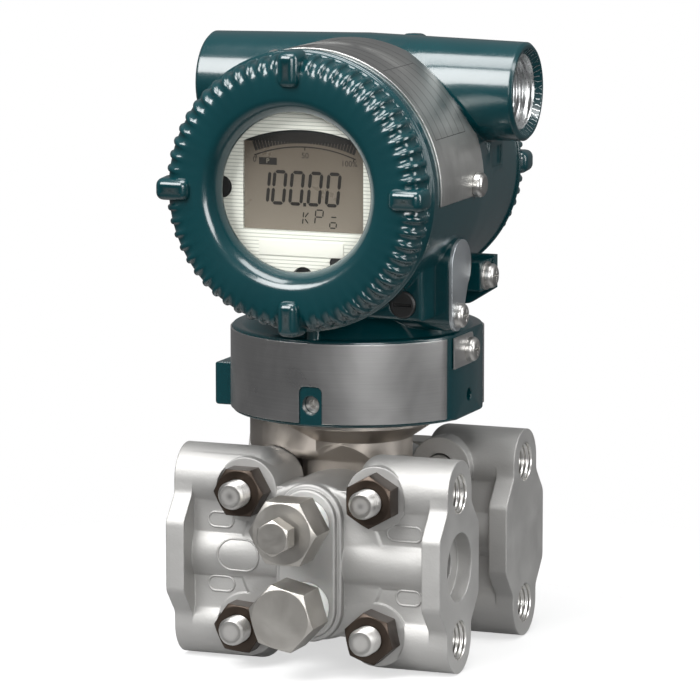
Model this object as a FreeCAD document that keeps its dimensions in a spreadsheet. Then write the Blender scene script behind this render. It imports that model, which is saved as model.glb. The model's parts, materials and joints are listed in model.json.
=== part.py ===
# Differential pressure transmitter: a capsule clamped between two cast process covers,
# under a turnable two-compartment housing with a dial window and a conduit tube.
# Millimetres. +Z up, Z = 0 under the process covers. The X = Y = 0 axis runs up the neck.
# +X runs along the conduit tube and the process covers, and the dial faces -Y.
import FreeCAD
import Part
import Sketcher
import math
import os
import re

SIZES = {
    # everywhere
    "run_out": 1.0,              # how far a hole runs past a face, and a screw stops short of its end
    "cast_round": 0.7,           # edge radius left by the moulds
    "disc_round": 1.5,
    # process covers: two equal castings, each three parallel tubes on a web between end plates
    "hole_spacing": 41.3,        # connection holes in an end face, centre to centre
    "hole_radius": 5.55,         # 7/16-20 thread, outside radius
    "hole_depth": 14.0,
    "drill_point": 3.3,          # cone that the drill leaves at the blind end
    "lobe_radius": 9.45,
    "cover_half": 41.0,          # half the length along X
    "cover_row": 27.0,           # mid-plane of a cover, half the port spacing
    "web_half": 7.8,
    "ridge_radius": 10.0,
    "lobe_start": 13.0,
    "end_half": 15.5,            # half width of an end plate's middle
    "end_flat": 9.95,            # half height of that middle
    "end_rise": 17.0,            # height at which the end plate is as narrow as a lobe
    "end_thick": 5.4,
    "disc_radius": 22.4,
    "cover_face": 8.3,           # spot faces, out from the cover's mid-plane
    "stud_boss_radius": 9.0,
    "spot_radius": 8.6,          # spot face cut round each nut
    "stud_boss_back": 12.0,      # inner end of a stud boss, in from the mid-plane
    "pad_radius": 9.9,
    "pad_step": 2.1,
    "land_radius": 8.6,
    "land_step": 1.6,
    "port_radius": 9.7,
    "port_depth": 4.2,
    "port_bore": 4.7,
    "port_reach": 33.0,          # length of the pressure bore behind the port
    "chamber_radius": 15.5,
    "chamber_depth": 2.4,
    "chamber_feed": 2.4,
    "gasket_inner": 17.2,
    "gasket_outer": 20.6,
    "gasket_depth": 1.6,
    "gasket_clear": 0.05,
    # studs and nuts
    "stud_x": 19.5,
    "stud_z": 19.25,
    "stud_radius": 4.0,
    "stud_clear": 0.3,
    "boss_clear": 0.4,           # neck clear of the covers' stud bosses
    "stud_out": 12.1,            # stud tip beyond the spot face
    "stud_point": 0.8,
    "nut_flats": 13.0,
    "nut_thick": 6.5,
    "head_thick": 5.3,
    "hex_inset": 0.2,            # bevel circle inside the flats
    "hex_slope": 0.5,            # depth of that bevel over its width
    "nut_clear": 0.02,
    # capsule
    "capsule_half": 11.5,
    "capsule_radius": 22.5,
    "neck_radius": 15.7,
    "neck_waist": 54.0,          # height where the neck is as thin as the capsule
    "neck_full": 60.0,
    "shoulder_radius": 22.6,
    "shoulder_low": 60.5,
    "shoulder_high": 65.2,
    "chamber_x": 15.5,           # side bulge that holds the sensor
    "bulge_radius": 16.3,
    "bulge_low": 54.9,
    "bulge_round": 3.0,
    "spigot_radius": 20.0,
    "spigot_top": 87.0,
    "diaphragm_radius": 15.2,
    "diaphragm_thick": 0.3,
    "diaphragm_sink": 0.6,
    "diaphragm_clear": 0.1,
    "seal_wire": 0.95,
    "seal_height": 80.0,
    "lock_groove": 0.8,
    # vent and drain plugs
    "plug_offset": 11.8,
    "plug_thread": 6.6,
    "plug_reach": 7.5,           # hex's back, out from the land
    "plug_depth": 12.0,
    "vent_flats": 17.5,
    "vent_hex": 10.5,
    "drain_flats": 17.0,
    "drain_hex": 11.9,
    "vent_screw_flats": 9.0,
    "vent_screw_hex": 5.2,
    "vent_screw_gap": 1.7,
    "vent_screw_radius": 2.5,
    "vent_clear": 0.08,
    "vent_tip": 5.0,             # cone seat behind the vent screw
    "tape_thick": 0.5,
    # collar at the foot of the housing
    "collar_low": 68.3,
    "collar_high": 92.7,
    "collar_radius": 35.5,
    "collar_flat": 33.5,
    "socket_clear": 0.08,
    "socket_top": 88.0,
    "band_low": 69.3,
    "band_high": 91.8,
    "band_thick": 0.5,
    "band_gap": 0.05,
    "band_notch": 3.45,
    "band_notch_top": 79.7,
    "tab_low": 83.0,
    "tab_back": 2.4,
    "tab_front": 9.0,
    "tab_screw_y": -1.0,
    "tab_screw_rise": 4.2,
    "tab_round": 1.5,
    "flat_half": 12.0,           # where the band meets the collar's facet
    "spare_y": 0.5,
    "spare_drop": 9.0,
    "stop_x": 39.0,
    "stop_half": 12.4,
    "stop_high": 81.0,
    "stop_clear": 0.4,
    "lock_radius": 2.5,
    "lock_rise": 6.1,            # turn-lock screws, up from the collar's foot
    "lock_recess": 2.4,
    "lock_gap": 0.3,
    "lock_socket": 2.4,
    # housing barrel
    "housing_axis": 135.1,
    "barrel_radius": 38.3,
    "barrel_front": 40.7,
    "barrel_part": 4.0,          # parting line, ahead of the neck axis
    "barrel_back": 36.5,
    "barrel_back_radius": 34.9,
    "front_bore": 34.7,
    "front_room": 33.0,
    "front_thread": 32.0,
    "front_floor": 6.5,
    "rear_bore": 31.0,
    "rear_room": 30.4,
    "rear_thread": 28.0,
    "rear_floor": 1.5,
    "pillar_radius": 27.0,
    "cone_radius": 33.3,         # foot of the neck cone
    "cone_height": 7.0,
    "post_radius": 1.9,
    "post_inset": 2.2,
    "wire_radius": 8.0,
    # conduit tube
    "tube_y": 8.4,
    "tube_z": 159.3,
    "tube_half": 47.7,
    "tube_radius": 13.85,
    "tube_middle": 14.9,
    "tube_edge": 0.8,
    "frame_deep": 8.0,           # raised frame on the barrel's side, under the tube
    "frame_inset": 1.3,
    "frame_edge": 1.7,
    "frame_width": 12.0,
    "frame_rise": 0.6,
    "frame_height": 9.2,
    "frame_sink": 0.7,
    "conduit_radius": 10.5,
    "conduit_depth": 17.0,
    "conduit_bevel": 1.8,
    "conduit_pass": 8.8,
    # screwed covers
    "cover_gap": 0.4,
    "rim_radius": 39.0,
    "rim_depth": 1.1,
    "ring_radius": 38.3,
    "grip_radius": 37.4,
    "grip_shoulder_radius": 36.3,
    "face_radius": 33.2,
    "face_front": 51.4,
    "window_outer": 25.3,
    "window_mid": 22.5,
    "window_mid_depth": 3.4,
    "window_radius": 21.9,
    "window_depth": 6.2,
    "glass_radius": 27.5,
    "glass_thick": 3.0,
    "glass_clear": 0.1,
    "gasket_thick": 0.4,
    "retainer_radius": 25.4,
    "retainer_thick": 1.2,
    "skirt_clear": 0.1,
    "skirt_depth": 7.7,
    "skirt_wall": 2.8,
    "groove_depth": 1.6,
    "groove_width": 1.8,
    "groove_inset": 0.3,
    "seal_clear": 0.05,
    "face_bevel": 2.1,
    "grip_back": 2.9,            # grip's inner end, out from the housing's mouth
    "ring_step": 0.3,
    "rib_count": 13,             # ribs between two lugs
    "rib_pitch": 6.08,
    "rib_first": 8.52,
    "rib_width": 1.3,
    "rib_proud": 0.85,
    "lug_width": 6.8,
    "lug_inner": 28.8,
    "lug_outer": 39.7,
    "lug_proud": 2.3,
    "lug_back": 4.5,
    "rear_rim": 35.4,
    "rear_grip": 33.7,
    "rear_shoulder": 32.6,
    "rear_face_radius": 29.6,
    "rear_face": 47.2,
    "rear_wall": 5.6,
    "rear_lug_inner": 25.2,
    "rear_lug_outer": 36.0,
    # display and boards
    "dial_front": 41.0,
    "dial_radius": 24.6,
    "dial_thick": 1.5,
    "lcd_half": 17.8,
    "lcd_low": 123.8,
    "lcd_side": 148.2,
    "lcd_high": 151.8,
    "lcd_sink": 0.7,
    "lcd_clear": 0.1,
    "dial_screw_radius": 1.3,
    "dial_screw_long": 2.0,
    "dial_head_radius": 2.6,
    "dial_head_thick": 1.1,
    "notch_radius": 3.2,
    "notch_reach": 24.4,
    "button_x": 9.8,
    "button_z": 115.5,
    "button_radius": 1.8,
    "button_clear": 0.15,
    "button_proud": 0.2,
    "case_radius": 30.0,
    "case_back": 29.0,
    "board_radius": 31.0,
    "board_front": 20.0,
    "board_thick": 1.6,
    "spacer_radius": 2.6,
    "spacer_circle": 26.0,
    # terminals
    "block_half": 21.0,
    "block_low": 116.0,
    "block_high": 145.0,
    "block_thick": 11.0,
    "block_round": 2.0,
    "terminal_row": 7.0,
    "terminal_base": 4.0,
    "rib_thick": 1.6,
    "rib_height": 4.0,
    "terminal_pitch": 13.0,
    "terminal_radius": 3.6,
    "terminal_thick": 2.4,
    # nameplate
    "plate_front": 36.0,
    "plate_back": 2.6,
    "plate_thick": 0.5,
    "plate_gap": 0.03,
    "plate_screw_depth": 3.4,
    "plate_start": -5.0,
    "plate_end": 130.0,
    "plate_relief": 0.9,
    "plate_screw_angle": -0.6,
    "plate_screw_y": 8.5,
    # small fittings on the housing's right side
    "pan_radius": 3.5,
    "pan_thick": 2.5,
    "pan_shank": 1.9,
    "screw_clear": 0.05,
    "screw_way": 7.5,            # depth of the small screws' holes
    "slot_width": 0.9,
    "slot_depth": 1.2,
    "zero_x": 25.9,
    "zero_z": 103.6,
    "zero_radius": 3.8,
    "zero_clear": 0.08,
    "zero_depth": 8.0,
    "zero_face": 32.0,
    "zero_side": 31.4,
    "zero_low": 99.0,
    "zero_rise": 12.0,
    "zero_proud": 0.6,
    "guard_inset": 2.7,          # guard's face, in from the barrel's side
    "guard_thick": 1.0,
    "guard_front": -21.6,
    "guard_rise": 6.5,           # guard screw, up from the collar's top
    "guard_foot_radius": 4.5,
    "guard_span": 13.3,          # guard screw to the centre of the guard's head
    "guard_head_radius": 7.5,
    "guard_deep": 8.0,
    "ground_face": 37.6,
    "ground_y": 2.2,
    "ground_z": 107.8,
    "ground_half": 4.2,
    "washer_thick": 0.8,
    "washer_proud": 0.5,
    "fin_x": 38.8,
    "fin_thick": 2.6,
}

doc = FreeCAD.newDocument("transmitter")
sheet = doc.addObject("Spreadsheet::Sheet", "Size")
for row, (alias, number) in enumerate(SIZES.items(), start=1):
    sheet.set("A%d" % row, alias)
    sheet.set("B%d" % row, str(number))
    sheet.setAlias("B%d" % row, alias)
doc.recompute()

ALONG = {
    "X": FreeCAD.Rotation(FreeCAD.Vector(0, 1, 0), 90),
    "Y": FreeCAD.Rotation(FreeCAD.Vector(1, 0, 0), -90),
    "Z": FreeCAD.Rotation(),
}
nodes = {}


def formula(text):
    """A formula in the sheet's names, as an expression another object can hold."""
    return re.sub(r"[a-z_]+", lambda word: "Size." + word[0] if word[0] in SIZES else word[0], str(text))


def size(text):
    """The present value of a formula."""
    return float(sheet.evalExpression(str(text)))


def bind(thing, **formulas):
    for prop, text in formulas.items():
        thing.setExpression(prop, formula(text))


def place(thing, at, rotation=FreeCAD.Rotation()):
    thing.Placement = FreeCAD.Placement(FreeCAD.Vector(*[size(text) for text in at]), rotation)
    for prop, text in zip("xyz", at):
        thing.setExpression("Placement.Base." + prop, formula(text))


def rod(axis, radius, at, length):
    """A round bar that starts at a point and runs along an axis."""
    bar = doc.addObject("Part::Cylinder", "rod")
    bind(bar, Radius=radius, Height=length)
    place(bar, at, ALONG[axis])
    return bar


def taper(axis, first, last, at, length):
    """A round bar whose radius changes evenly from one end to the other."""
    cone = doc.addObject("Part::Cone", "taper")
    bind(cone, Radius1=first, Radius2=last, Height=length)
    place(cone, at, ALONG[axis])
    return cone


def block(low, high):
    """A box between two corners."""
    box = doc.addObject("Part::Box", "block")
    bind(box, **{prop: "(%s) - (%s)" % (b, a) for prop, a, b in zip(("Length", "Width", "Height"), low, high)})
    place(box, low)
    return box


def hexagon(axis, flats, at, length, turn=0):
    """A hexagonal bar, given across its flats and turned about its axis."""
    bar = doc.addObject("Part::Prism", "hexagon")
    bar.Polygon = 6
    bind(bar, Circumradius="(%s) / sqrt(3)" % flats, Height=length)
    place(bar, at, ALONG[axis].multiply(FreeCAD.Rotation(FreeCAD.Vector(0, 0, 1), turn)))
    return bar


def seal(axis, radius, wire, at):
    """A round-wire ring about an axis."""
    ring = doc.addObject("Part::Torus", "seal")
    bind(ring, Radius1=radius, Radius2=wire)
    place(ring, at, ALONG[axis])
    return ring


def join(*parts):
    whole = doc.addObject("Part::MultiFuse", "join")
    whole.Shapes = list(parts)
    return whole


def cut(base, *tools):
    left = doc.addObject("Part::Cut", "cut")
    left.Base = base
    left.Tool = tools[0] if len(tools) == 1 else join(*tools)
    return left


def meet(*parts):
    shared = doc.addObject("Part::MultiCommon", "meet")
    shared.Shapes = list(parts)
    return shared


def group(*parts):
    """Like pieces that lie apart and share one node."""
    heap = doc.addObject("Part::Compound", "group")
    heap.Links = list(parts)
    return heap


def softened(base, radius, chosen, kind="Part::Fillet"):
    """Rounds or bevels the edges of a piece for which chosen(edge) holds."""
    doc.recompute()
    soft = doc.addObject(kind, "softened")
    soft.Base = base
    width = size(radius)
    picked = [number for number, edge in enumerate(base.Shape.Edges, start=1) if chosen(edge)]
    soft.Edges = [(number, width, width) for number in picked]
    return soft


def level(axis, text):
    """Chooses the edges that lie wholly at one place along an axis."""
    pick = "XYZ".index(axis)
    return lambda edge: all(abs(vertex.Point[pick] - size(text)) < 0.01 for vertex in edge.Vertexes)


def along(axis):
    """Chooses the straight edges that run along an axis."""
    pick = "XYZ".index(axis)
    return lambda edge: (isinstance(edge.Curve, Part.Line)
                         and abs(abs(edge.Curve.Direction[pick]) - 1) < 1e-6)


def sketch(body, plane, points, lift="0"):
    """A closed outline whose corners are all tied to the sheet by formulas."""
    outline = body.newObject("Sketcher::SketchObject", "outline")
    origin = [feature for feature in body.Origin.OriginFeatures if feature.Role == plane][0]
    outline.AttachmentSupport = [(origin, "")]
    outline.MapMode = "FlatFace"
    outline.setExpression("AttachmentOffset.Base.z", formula(lift))
    corners = [FreeCAD.Vector(size(u), size(v), 0) for u, v in points]
    count = len(corners)
    for k in range(count):
        outline.addGeometry(Part.LineSegment(corners[k], corners[(k + 1) % count]), False)
    for k in range(count):
        outline.addConstraint(Sketcher.Constraint("Coincident", k, 2, (k + 1) % count, 1))
    for k, (u, v) in enumerate(points):
        for kind, text, value in (("DistanceX", u, corners[k].x), ("DistanceY", v, corners[k].y)):
            index = outline.addConstraint(Sketcher.Constraint(kind, -1, 1, k, 1, value))
            outline.setExpression("Constraints[%d]" % index, formula(text))
    return outline


def turned(axis, points, at=("0", "0", "0")):
    """A turned solid: corners are (radius, station) about the Y or Z axis through a point."""
    body = doc.addObject("PartDesign::Body", "turned")
    outline = sketch(body, {"Y": "XY_Plane", "Z": "XZ_Plane"}[axis], points)
    spin = body.newObject("PartDesign::Revolution", "spin")
    spin.Profile = outline
    spin.ReferenceAxis = (outline, ["V_Axis"])
    spin.Angle = 360
    outline.Visibility = False
    place(body, at)
    return body


def slab(plane, points, start, length):
    """A flat outline given thickness along its plane's normal (-Y for XZ_Plane)."""
    body = doc.addObject("PartDesign::Body", "slab")
    outline = sketch(body, plane, points, lift=start)
    pad = body.newObject("PartDesign::Pad", "pad")
    pad.Profile = outline
    bind(pad, Length=length)
    return body


def node(name, piece):
    """Names a finished piece: the name is also its file's name."""
    piece.Label = name
    nodes[name] = piece


def half_turned(piece):
    """The like piece on the other side of the neck axis, half a turn about +Z."""
    twin = doc.addObject("Part::Compound", "twin")
    twin.Links = [piece]
    twin.Placement = FreeCAD.Placement(FreeCAD.Vector(), FreeCAD.Rotation(FreeCAD.Vector(0, 0, 1), 180))
    return twin


# ---- process covers --------------------------------------------------------------------------
port_z = "lobe_radius + hole_spacing / 2"
cover_in = "capsule_half"
cover_out = "cover_row + cover_face"
pad_out = cover_out + " + pad_step"
land_out = pad_out + " + land_step"
lobe_heights = ["%s %s hole_spacing / 2" % (port_z, sign) for sign in "+-"]
stud_places = [(sx + "stud_x", port_z + sz + "stud_z") for sz in "+-" for sx in ("-", "")]
plug_heights = {"vent": port_z + " + plug_offset", "drain": port_z + " - plug_offset"}


def obround(radius, half_height, front, back):
    """An upright oblong block with round ends, centred on the port height."""
    depth = "(%s) - (%s)" % (front, back)
    middle = block(("-(%s)" % radius, "-(%s)" % front, "%s - (%s)" % (port_z, half_height)),
                   (radius, "-(%s)" % back, "%s + (%s)" % (port_z, half_height)))
    ends = [rod("Y", radius, ("0", "-(%s)" % front, "%s %s (%s)" % (port_z, sign, half_height)), depth)
            for sign in "+-"]
    return join(middle, *ends)


def end_plate():
    """A cover's end: a middle as wide as the port flange, drawn in to each lobe."""
    upper = [("end_half", "end_flat"), ("lobe_radius", "end_rise"), ("lobe_radius", "hole_spacing / 2"),
             ("-lobe_radius", "hole_spacing / 2"), ("-lobe_radius", "end_rise"), ("-end_half", "end_flat")]
    lower = [(u, "-(%s)" % v) for u, v in reversed(upper)]
    corners = [("-cover_row + " + u, port_z + " + " + v) for u, v in upper + lower]
    plate = slab("YZ_Plane", corners, "cover_half - end_thick", "end_thick")
    bends = [abs(size(text)) for text in ("end_flat", "end_rise")]

    def at_bend(edge):
        height = abs(edge.Vertexes[0].Z - size(port_z))
        return along("X")(edge) and any(abs(height - bend) < 0.01 for bend in bends)

    curved = softened(plate, "end_rise / 5", at_bend)
    lobes = [rod("X", "lobe_radius", ("cover_half - end_thick", "-cover_row", z), "end_thick")
             for z in lobe_heights]
    return join(curved, *lobes)


def mirrored(piece):
    """The same piece on the -X side."""
    twin = doc.addObject("Part::Mirroring", "mirrored")
    twin.Source = piece
    twin.Normal = FreeCAD.Vector(1, 0, 0)
    return twin


def process_cover():
    lobes = []
    for z in lobe_heights:
        lobe = rod("X", "lobe_radius", ("lobe_start", "-cover_row", z), "cover_half - lobe_start - run_out")
        lobes.append(softened(lobe, "lobe_radius / 2", level("X", "lobe_start")))
    right = [end_plate()] + lobes
    ridge = rod("X", "ridge_radius", ("-cover_half + run_out", "-cover_row", port_z),
                "2 * cover_half - 2 * run_out")
    web = block(("-cover_half + run_out", "-cover_row - web_half", port_z + " - hole_spacing / 2"),
                ("cover_half - run_out", "-cover_row + web_half", port_z + " + hole_spacing / 2"))
    disc = softened(rod("Y", "disc_radius", ("0", "-(%s)" % cover_out, port_z), "%s - capsule_half" % cover_out),
                    "disc_round", level("Y", "-(%s)" % cover_out))
    bosses = [rod("Y", "stud_boss_radius", (x, "-(%s)" % cover_out, z), "cover_face + stud_boss_back")
              for x, z in stud_places]
    pad = softened(obround("pad_radius", "disc_radius - pad_radius", pad_out, cover_out + " - 2 * run_out"),
                   "cast_round", level("Y", "-(%s)" % pad_out))
    land = softened(obround("land_radius", "disc_radius - pad_radius", land_out, pad_out + " - 2 * run_out"),
                    "cast_round", level("Y", "-(%s)" % land_out))
    casting = join(ridge, web, disc, pad, land, *bosses, *right, *[mirrored(piece) for piece in right])
    holes = []
    for z in lobe_heights:
        holes.append(rod("X", "hole_radius", ("cover_half - hole_depth", "-cover_row", z),
                         "hole_depth + run_out"))
        holes.append(taper("X", "0", "hole_radius",
                           ("cover_half - hole_depth - drill_point", "-cover_row", z), "drill_point"))
        holes.append(rod("X", "hole_radius", ("-cover_half - run_out", "-cover_row", z),
                         "hole_depth + run_out"))
        holes.append(taper("X", "hole_radius", "0", ("-cover_half + hole_depth", "-cover_row", z),
                           "drill_point"))
    holes.append(rod("X", "port_radius", ("cover_half - port_depth", "-cover_row", port_z), "port_depth + run_out"))
    holes.append(rod("X", "port_bore", ("cover_half - port_depth - port_reach", "-cover_row", port_z),
                     "port_reach + run_out"))
    holes.append(rod("Y", "chamber_feed", ("cover_half - port_depth - port_reach + port_bore", "-cover_row",
                                           port_z), "cover_row - capsule_half"))
    holes.append(rod("Y", "chamber_radius", ("0", "-capsule_half - chamber_depth", port_z),
                     "chamber_depth + run_out"))
    holes.append(cut(rod("Y", "gasket_outer", ("0", "-capsule_half - gasket_depth", port_z),
                         "gasket_depth + run_out"),
                     rod("Y", "gasket_inner", ("0", "-capsule_half - gasket_depth - run_out", port_z),
                         "gasket_depth + 3 * run_out")))
    for x, z in stud_places:
        holes.append(rod("Y", "stud_radius + stud_clear", (x, "-(%s) - run_out" % cover_out, z),
                         "cover_row + 2 * run_out"))
        holes.append(rod("Y", "spot_radius", (x, "-(%s) - 3 * run_out" % cover_out, z), "3 * run_out"))
    for z in plug_heights.values():
        holes.append(rod("Y", "plug_thread", ("0", "-(%s) - run_out" % land_out, z), "plug_depth + run_out"))
        holes.append(rod("Y", "chamber_feed", ("0", "-(%s)" % land_out, z), "%s - capsule_half" % land_out))
    return cut(casting, *holes)


front_cover_casting = process_cover()
node("front_process_cover", front_cover_casting)
node("rear_process_cover", half_turned(front_cover_casting))

# ---- capsule between the covers, with its neck ---------------------------------------------------
waist = [("capsule_half", "0"), ("capsule_half", "neck_waist"), ("neck_radius", "neck_full"),
         ("shoulder_radius + 3 * run_out", "neck_full + run_out"),
         ("shoulder_radius + 3 * run_out", "spigot_top + run_out")]
waist_outline = waist + [("-(%s)" % u, v) for u, v in reversed(waist)]
neck = turned("Z", [("0", port_z), ("neck_radius", port_z), ("neck_radius", "shoulder_low"),
                    ("shoulder_radius", "shoulder_high"), ("shoulder_radius", "collar_low"),
                    ("spigot_radius", "collar_low"),
                    ("spigot_radius", "collar_low + lock_rise - lock_radius"),
                    ("spigot_radius - lock_groove", "collar_low + lock_rise - lock_radius + lock_groove"),
                    ("spigot_radius - lock_groove", "collar_low + lock_rise + lock_radius - lock_groove"),
                    ("spigot_radius", "collar_low + lock_rise + lock_radius"),
                    ("spigot_radius", "seal_height - seal_wire - diaphragm_clear"),
                    ("spigot_radius - 2 * seal_wire", "seal_height - seal_wire - diaphragm_clear"),
                    ("spigot_radius - 2 * seal_wire", "seal_height + seal_wire + diaphragm_clear"),
                    ("spigot_radius", "seal_height + seal_wire + diaphragm_clear"),
                    ("spigot_radius", "spigot_top - run_out"), ("spigot_radius - run_out", "spigot_top"),
                    ("0", "spigot_top")])
bulge = softened(rod("Z", "bulge_radius", ("-chamber_x", "0", "bulge_low"), "collar_low - bulge_low"),
                 "bulge_round", level("Z", "bulge_low"))
waisted = meet(neck, slab("YZ_Plane", waist_outline, "-2 * spigot_radius", "4 * spigot_radius"))
sides = [rod("Y", "diaphragm_radius + diaphragm_clear", ("0", y, port_z), "2 * diaphragm_sink")
         for y in ("-capsule_half - diaphragm_sink", "capsule_half - diaphragm_sink")]
disc = rod("Y", "capsule_radius", ("0", "-capsule_half", port_z), "2 * capsule_half")
reliefs = []
for x, z in stud_places[:2]:
    reliefs.append(rod("Y", "stud_radius + stud_clear", (x, "-cover_row", z), "2 * cover_row"))
    for start in ("-cover_row", "cover_row - stud_boss_back - boss_clear"):
        reliefs.append(rod("Y", "stud_boss_radius + boss_clear", (x, start, z), "stud_boss_back + boss_clear"))
node("capsule_body", cut(join(waisted, bulge, disc), *sides, *reliefs))
node("isolating_diaphragms",
     group(*[rod("Y", "diaphragm_radius", ("0", y, port_z), "diaphragm_thick")
             for y in ("-capsule_half + diaphragm_sink - diaphragm_thick", "capsule_half - diaphragm_sink")]))
gasket = cut(rod("Y", "gasket_outer - gasket_clear", ("0", "-capsule_half - gasket_depth + gasket_clear",
                                                      port_z), "gasket_depth - gasket_clear"),
             rod("Y", "gasket_inner + gasket_clear", ("0", "-capsule_half - gasket_depth", port_z),
                 "gasket_depth + run_out"))
node("cover_gaskets", group(gasket, half_turned(gasket)))
node("neck_seal", seal("Z", "spigot_radius - seal_wire + diaphragm_clear / 2", "seal_wire - diaphragm_clear / 2",
                       ("0", "0", "seal_height")))

# ---- bolts through both covers, their nuts in front ---------------------------------------------


def bevelled_hexagon(flats, at, length, turn, end):
    """A hexagonal bar along Y whose corners are turned back to a cone at its front or back end."""
    corner = "((%s) / sqrt(3) + hex_inset)" % flats
    flat = "((%s) / 2 - hex_inset)" % flats
    slope = "(%s - %s) * hex_slope" % (corner, flat)
    if end == "front":
        points = [("0", "0"), (flat, "0"), (corner, slope), (corner, length), ("0", length)]
    else:
        points = [("0", "0"), (corner, "0"), (corner, "%s - %s" % (length, slope)), (flat, length), ("0", length)]
    return meet(hexagon("Y", flats, at, length, turn), turned("Y", points, at))


bolts = []
nuts = []
for (x, z), turn in zip(stud_places, (0, 30, 5, 18)):
    tip = "-(%s) - stud_out" % cover_out
    shank = rod("Y", "stud_radius", (x, tip + " + stud_point", z), "2 * (%s) + stud_out - stud_point" % cover_out)
    point = taper("Y", "stud_radius - stud_point", "stud_radius", (x, tip, z), "stud_point")
    head = bevelled_hexagon("nut_flats", (x, cover_out, z), "head_thick", turn, "back")
    bolts.append(join(shank, point, head))
    body = bevelled_hexagon("nut_flats", (x, "-(%s) - nut_thick" % cover_out, z), "nut_thick", turn, "front")
    nuts.append(cut(body, rod("Y", "stud_radius + nut_clear", (x, tip, z), "stud_out + run_out")))
node("flange_bolts", group(*bolts))
node("flange_nuts", group(*nuts))

# ---- vent and drain plugs, each with sealing tape on its thread ---------------------------------
vent_tip = "-(%s) - plug_reach - vent_hex" % land_out
vent_z = plug_heights["vent"]
drain_z = plug_heights["drain"]
vent_bar = bevelled_hexagon("vent_flats", ("0", vent_tip, vent_z), "vent_hex", 0, "front")
vent_thread = rod("Y", "plug_thread - gasket_clear", ("0", "-(%s) - plug_reach" % land_out, vent_z),
                  "plug_reach + plug_depth - run_out")
vent_bore = rod("Y", "vent_screw_radius + vent_clear", ("0", vent_tip + " - run_out", vent_z),
                "vent_hex + plug_reach + vent_tip")
weep = rod("Y", "vent_screw_radius / 2", ("0", vent_tip, vent_z), "vent_hex + plug_reach + plug_depth + run_out")
vent_plug = cut(join(vent_bar, vent_thread), vent_bore, weep)
node("front_vent_plug", vent_plug)
screw_back = vent_tip + " - vent_screw_gap"
vent_head = bevelled_hexagon("vent_screw_flats", ("0", screw_back + " - vent_screw_hex", vent_z),
                             "vent_screw_hex", 30, "front")
vent_stem = rod("Y", "vent_screw_radius", ("0", screw_back, vent_z), "vent_screw_gap + vent_hex + plug_reach")
vent_tipped = taper("Y", "vent_screw_radius", "vent_screw_radius / 3",
                    ("0", screw_back + " + vent_screw_gap + vent_hex + plug_reach", vent_z), "vent_tip / 2")
vent_screw = join(vent_head, vent_stem, vent_tipped)
node("front_vent_screw", vent_screw)
drain_tip = "-(%s) - plug_reach - drain_hex" % land_out
drain_bar = bevelled_hexagon("drain_flats", ("0", drain_tip, drain_z), "drain_hex", 13, "front")
drain_thread = rod("Y", "plug_thread - gasket_clear", ("0", "-(%s) - plug_reach" % land_out, drain_z),
                   "plug_reach + plug_depth - run_out")
drain_plug = join(drain_bar, drain_thread)
node("front_drain_plug", drain_plug)
node("rear_vent_plug", half_turned(vent_plug))
node("rear_vent_screw", half_turned(vent_screw))
node("rear_drain_plug", half_turned(drain_plug))
tapes = []
for z in plug_heights.values():
    wrap = rod("Y", "plug_thread + tape_thick", ("0", "-(%s) - plug_reach" % land_out, z), "plug_reach")
    tapes.append(cut(wrap, rod("Y", "plug_thread", ("0", "-(%s) - plug_reach - run_out" % land_out, z),
                               "plug_reach + 2 * run_out")))
front_tapes = group(*tapes)
node("thread_tape", group(front_tapes, half_turned(front_tapes)))

# ---- housing: one casting of barrel, conduit tube, neck and collar ------------------------------
axis_at = ("0", "0", "housing_axis")
barrel = turned("Y", [("0", "-barrel_front"), ("barrel_radius", "-barrel_front"),
                      ("barrel_radius", "-barrel_part"), ("barrel_back_radius", "barrel_back"),
                      ("0", "barrel_back")], axis_at)


def tube_end(side):
    """One half of the conduit tube: drafted from the middle, with a turned edge at its mouth."""
    points = [("0", "0"), ("tube_middle", "0"), ("tube_radius", "tube_half - tube_edge"),
              ("tube_radius - tube_edge", "tube_half"), ("0", "tube_half")]
    half = turned("Z", points, ("0", "tube_y", "tube_z"))
    half.Placement.Rotation = FreeCAD.Rotation(FreeCAD.Vector(0, 1, 0), side * 90)
    return half


def conduit_hole(side):
    """A conduit entry: bevel, thread bore and the wire passage behind it."""
    points = [("0", "tube_half + run_out"), ("conduit_radius + conduit_bevel + run_out", "tube_half + run_out"),
              ("conduit_radius + conduit_bevel", "tube_half"), ("conduit_radius", "tube_half - conduit_bevel"),
              ("conduit_radius", "tube_half - conduit_bevel - conduit_depth"),
              ("conduit_pass", "tube_half - conduit_bevel - conduit_depth - run_out"), ("conduit_pass", "0"),
              ("0", "0")]
    hole = turned("Z", points, ("0", "tube_y", "tube_z"))
    hole.Placement.Rotation = FreeCAD.Rotation(FreeCAD.Vector(0, 1, 0), side * 90)
    return hole


collar = softened(rod("Z", "collar_radius", ("0", "0", "collar_low"), "collar_high - collar_low"),
                  "cast_round", lambda edge: isinstance(edge.Curve, Part.Circle))
stop = softened(block(("-stop_x", "-stop_half", "collar_low + band_thick"), ("0", "stop_half", "stop_high")),
                "2 * cast_round", lambda edge: edge.CenterOfMass.x < -size("stop_x") + 0.1)
neck_cone = taper("Z", "cone_radius", "pillar_radius", ("0", "0", "collar_high - run_out / 2"), "cone_height")
neck_stem = rod("Z", "pillar_radius", ("0", "0", "collar_high"),
                "housing_axis - collar_high - front_room / 2")
zero_block = softened(block(("zero_x / 2", "-zero_face", "zero_low"), ("zero_side", "0", "zero_z + zero_rise")),
                      "2 * cast_round", lambda edge: along("Z")(edge) and edge.CenterOfMass.x > size("zero_side") - 0.1
                      or along("X")(edge) and edge.CenterOfMass.z < size("zero_low") + 0.1)
guard_face = "(barrel_radius - guard_inset)"
guard_foot = "(collar_high + guard_rise)"
guard_head = "(collar_high + guard_rise + guard_span)"
guard_mid = "guard_front + guard_head_radius"
guard_foot_y = "guard_front + guard_foot_radius"


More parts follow.
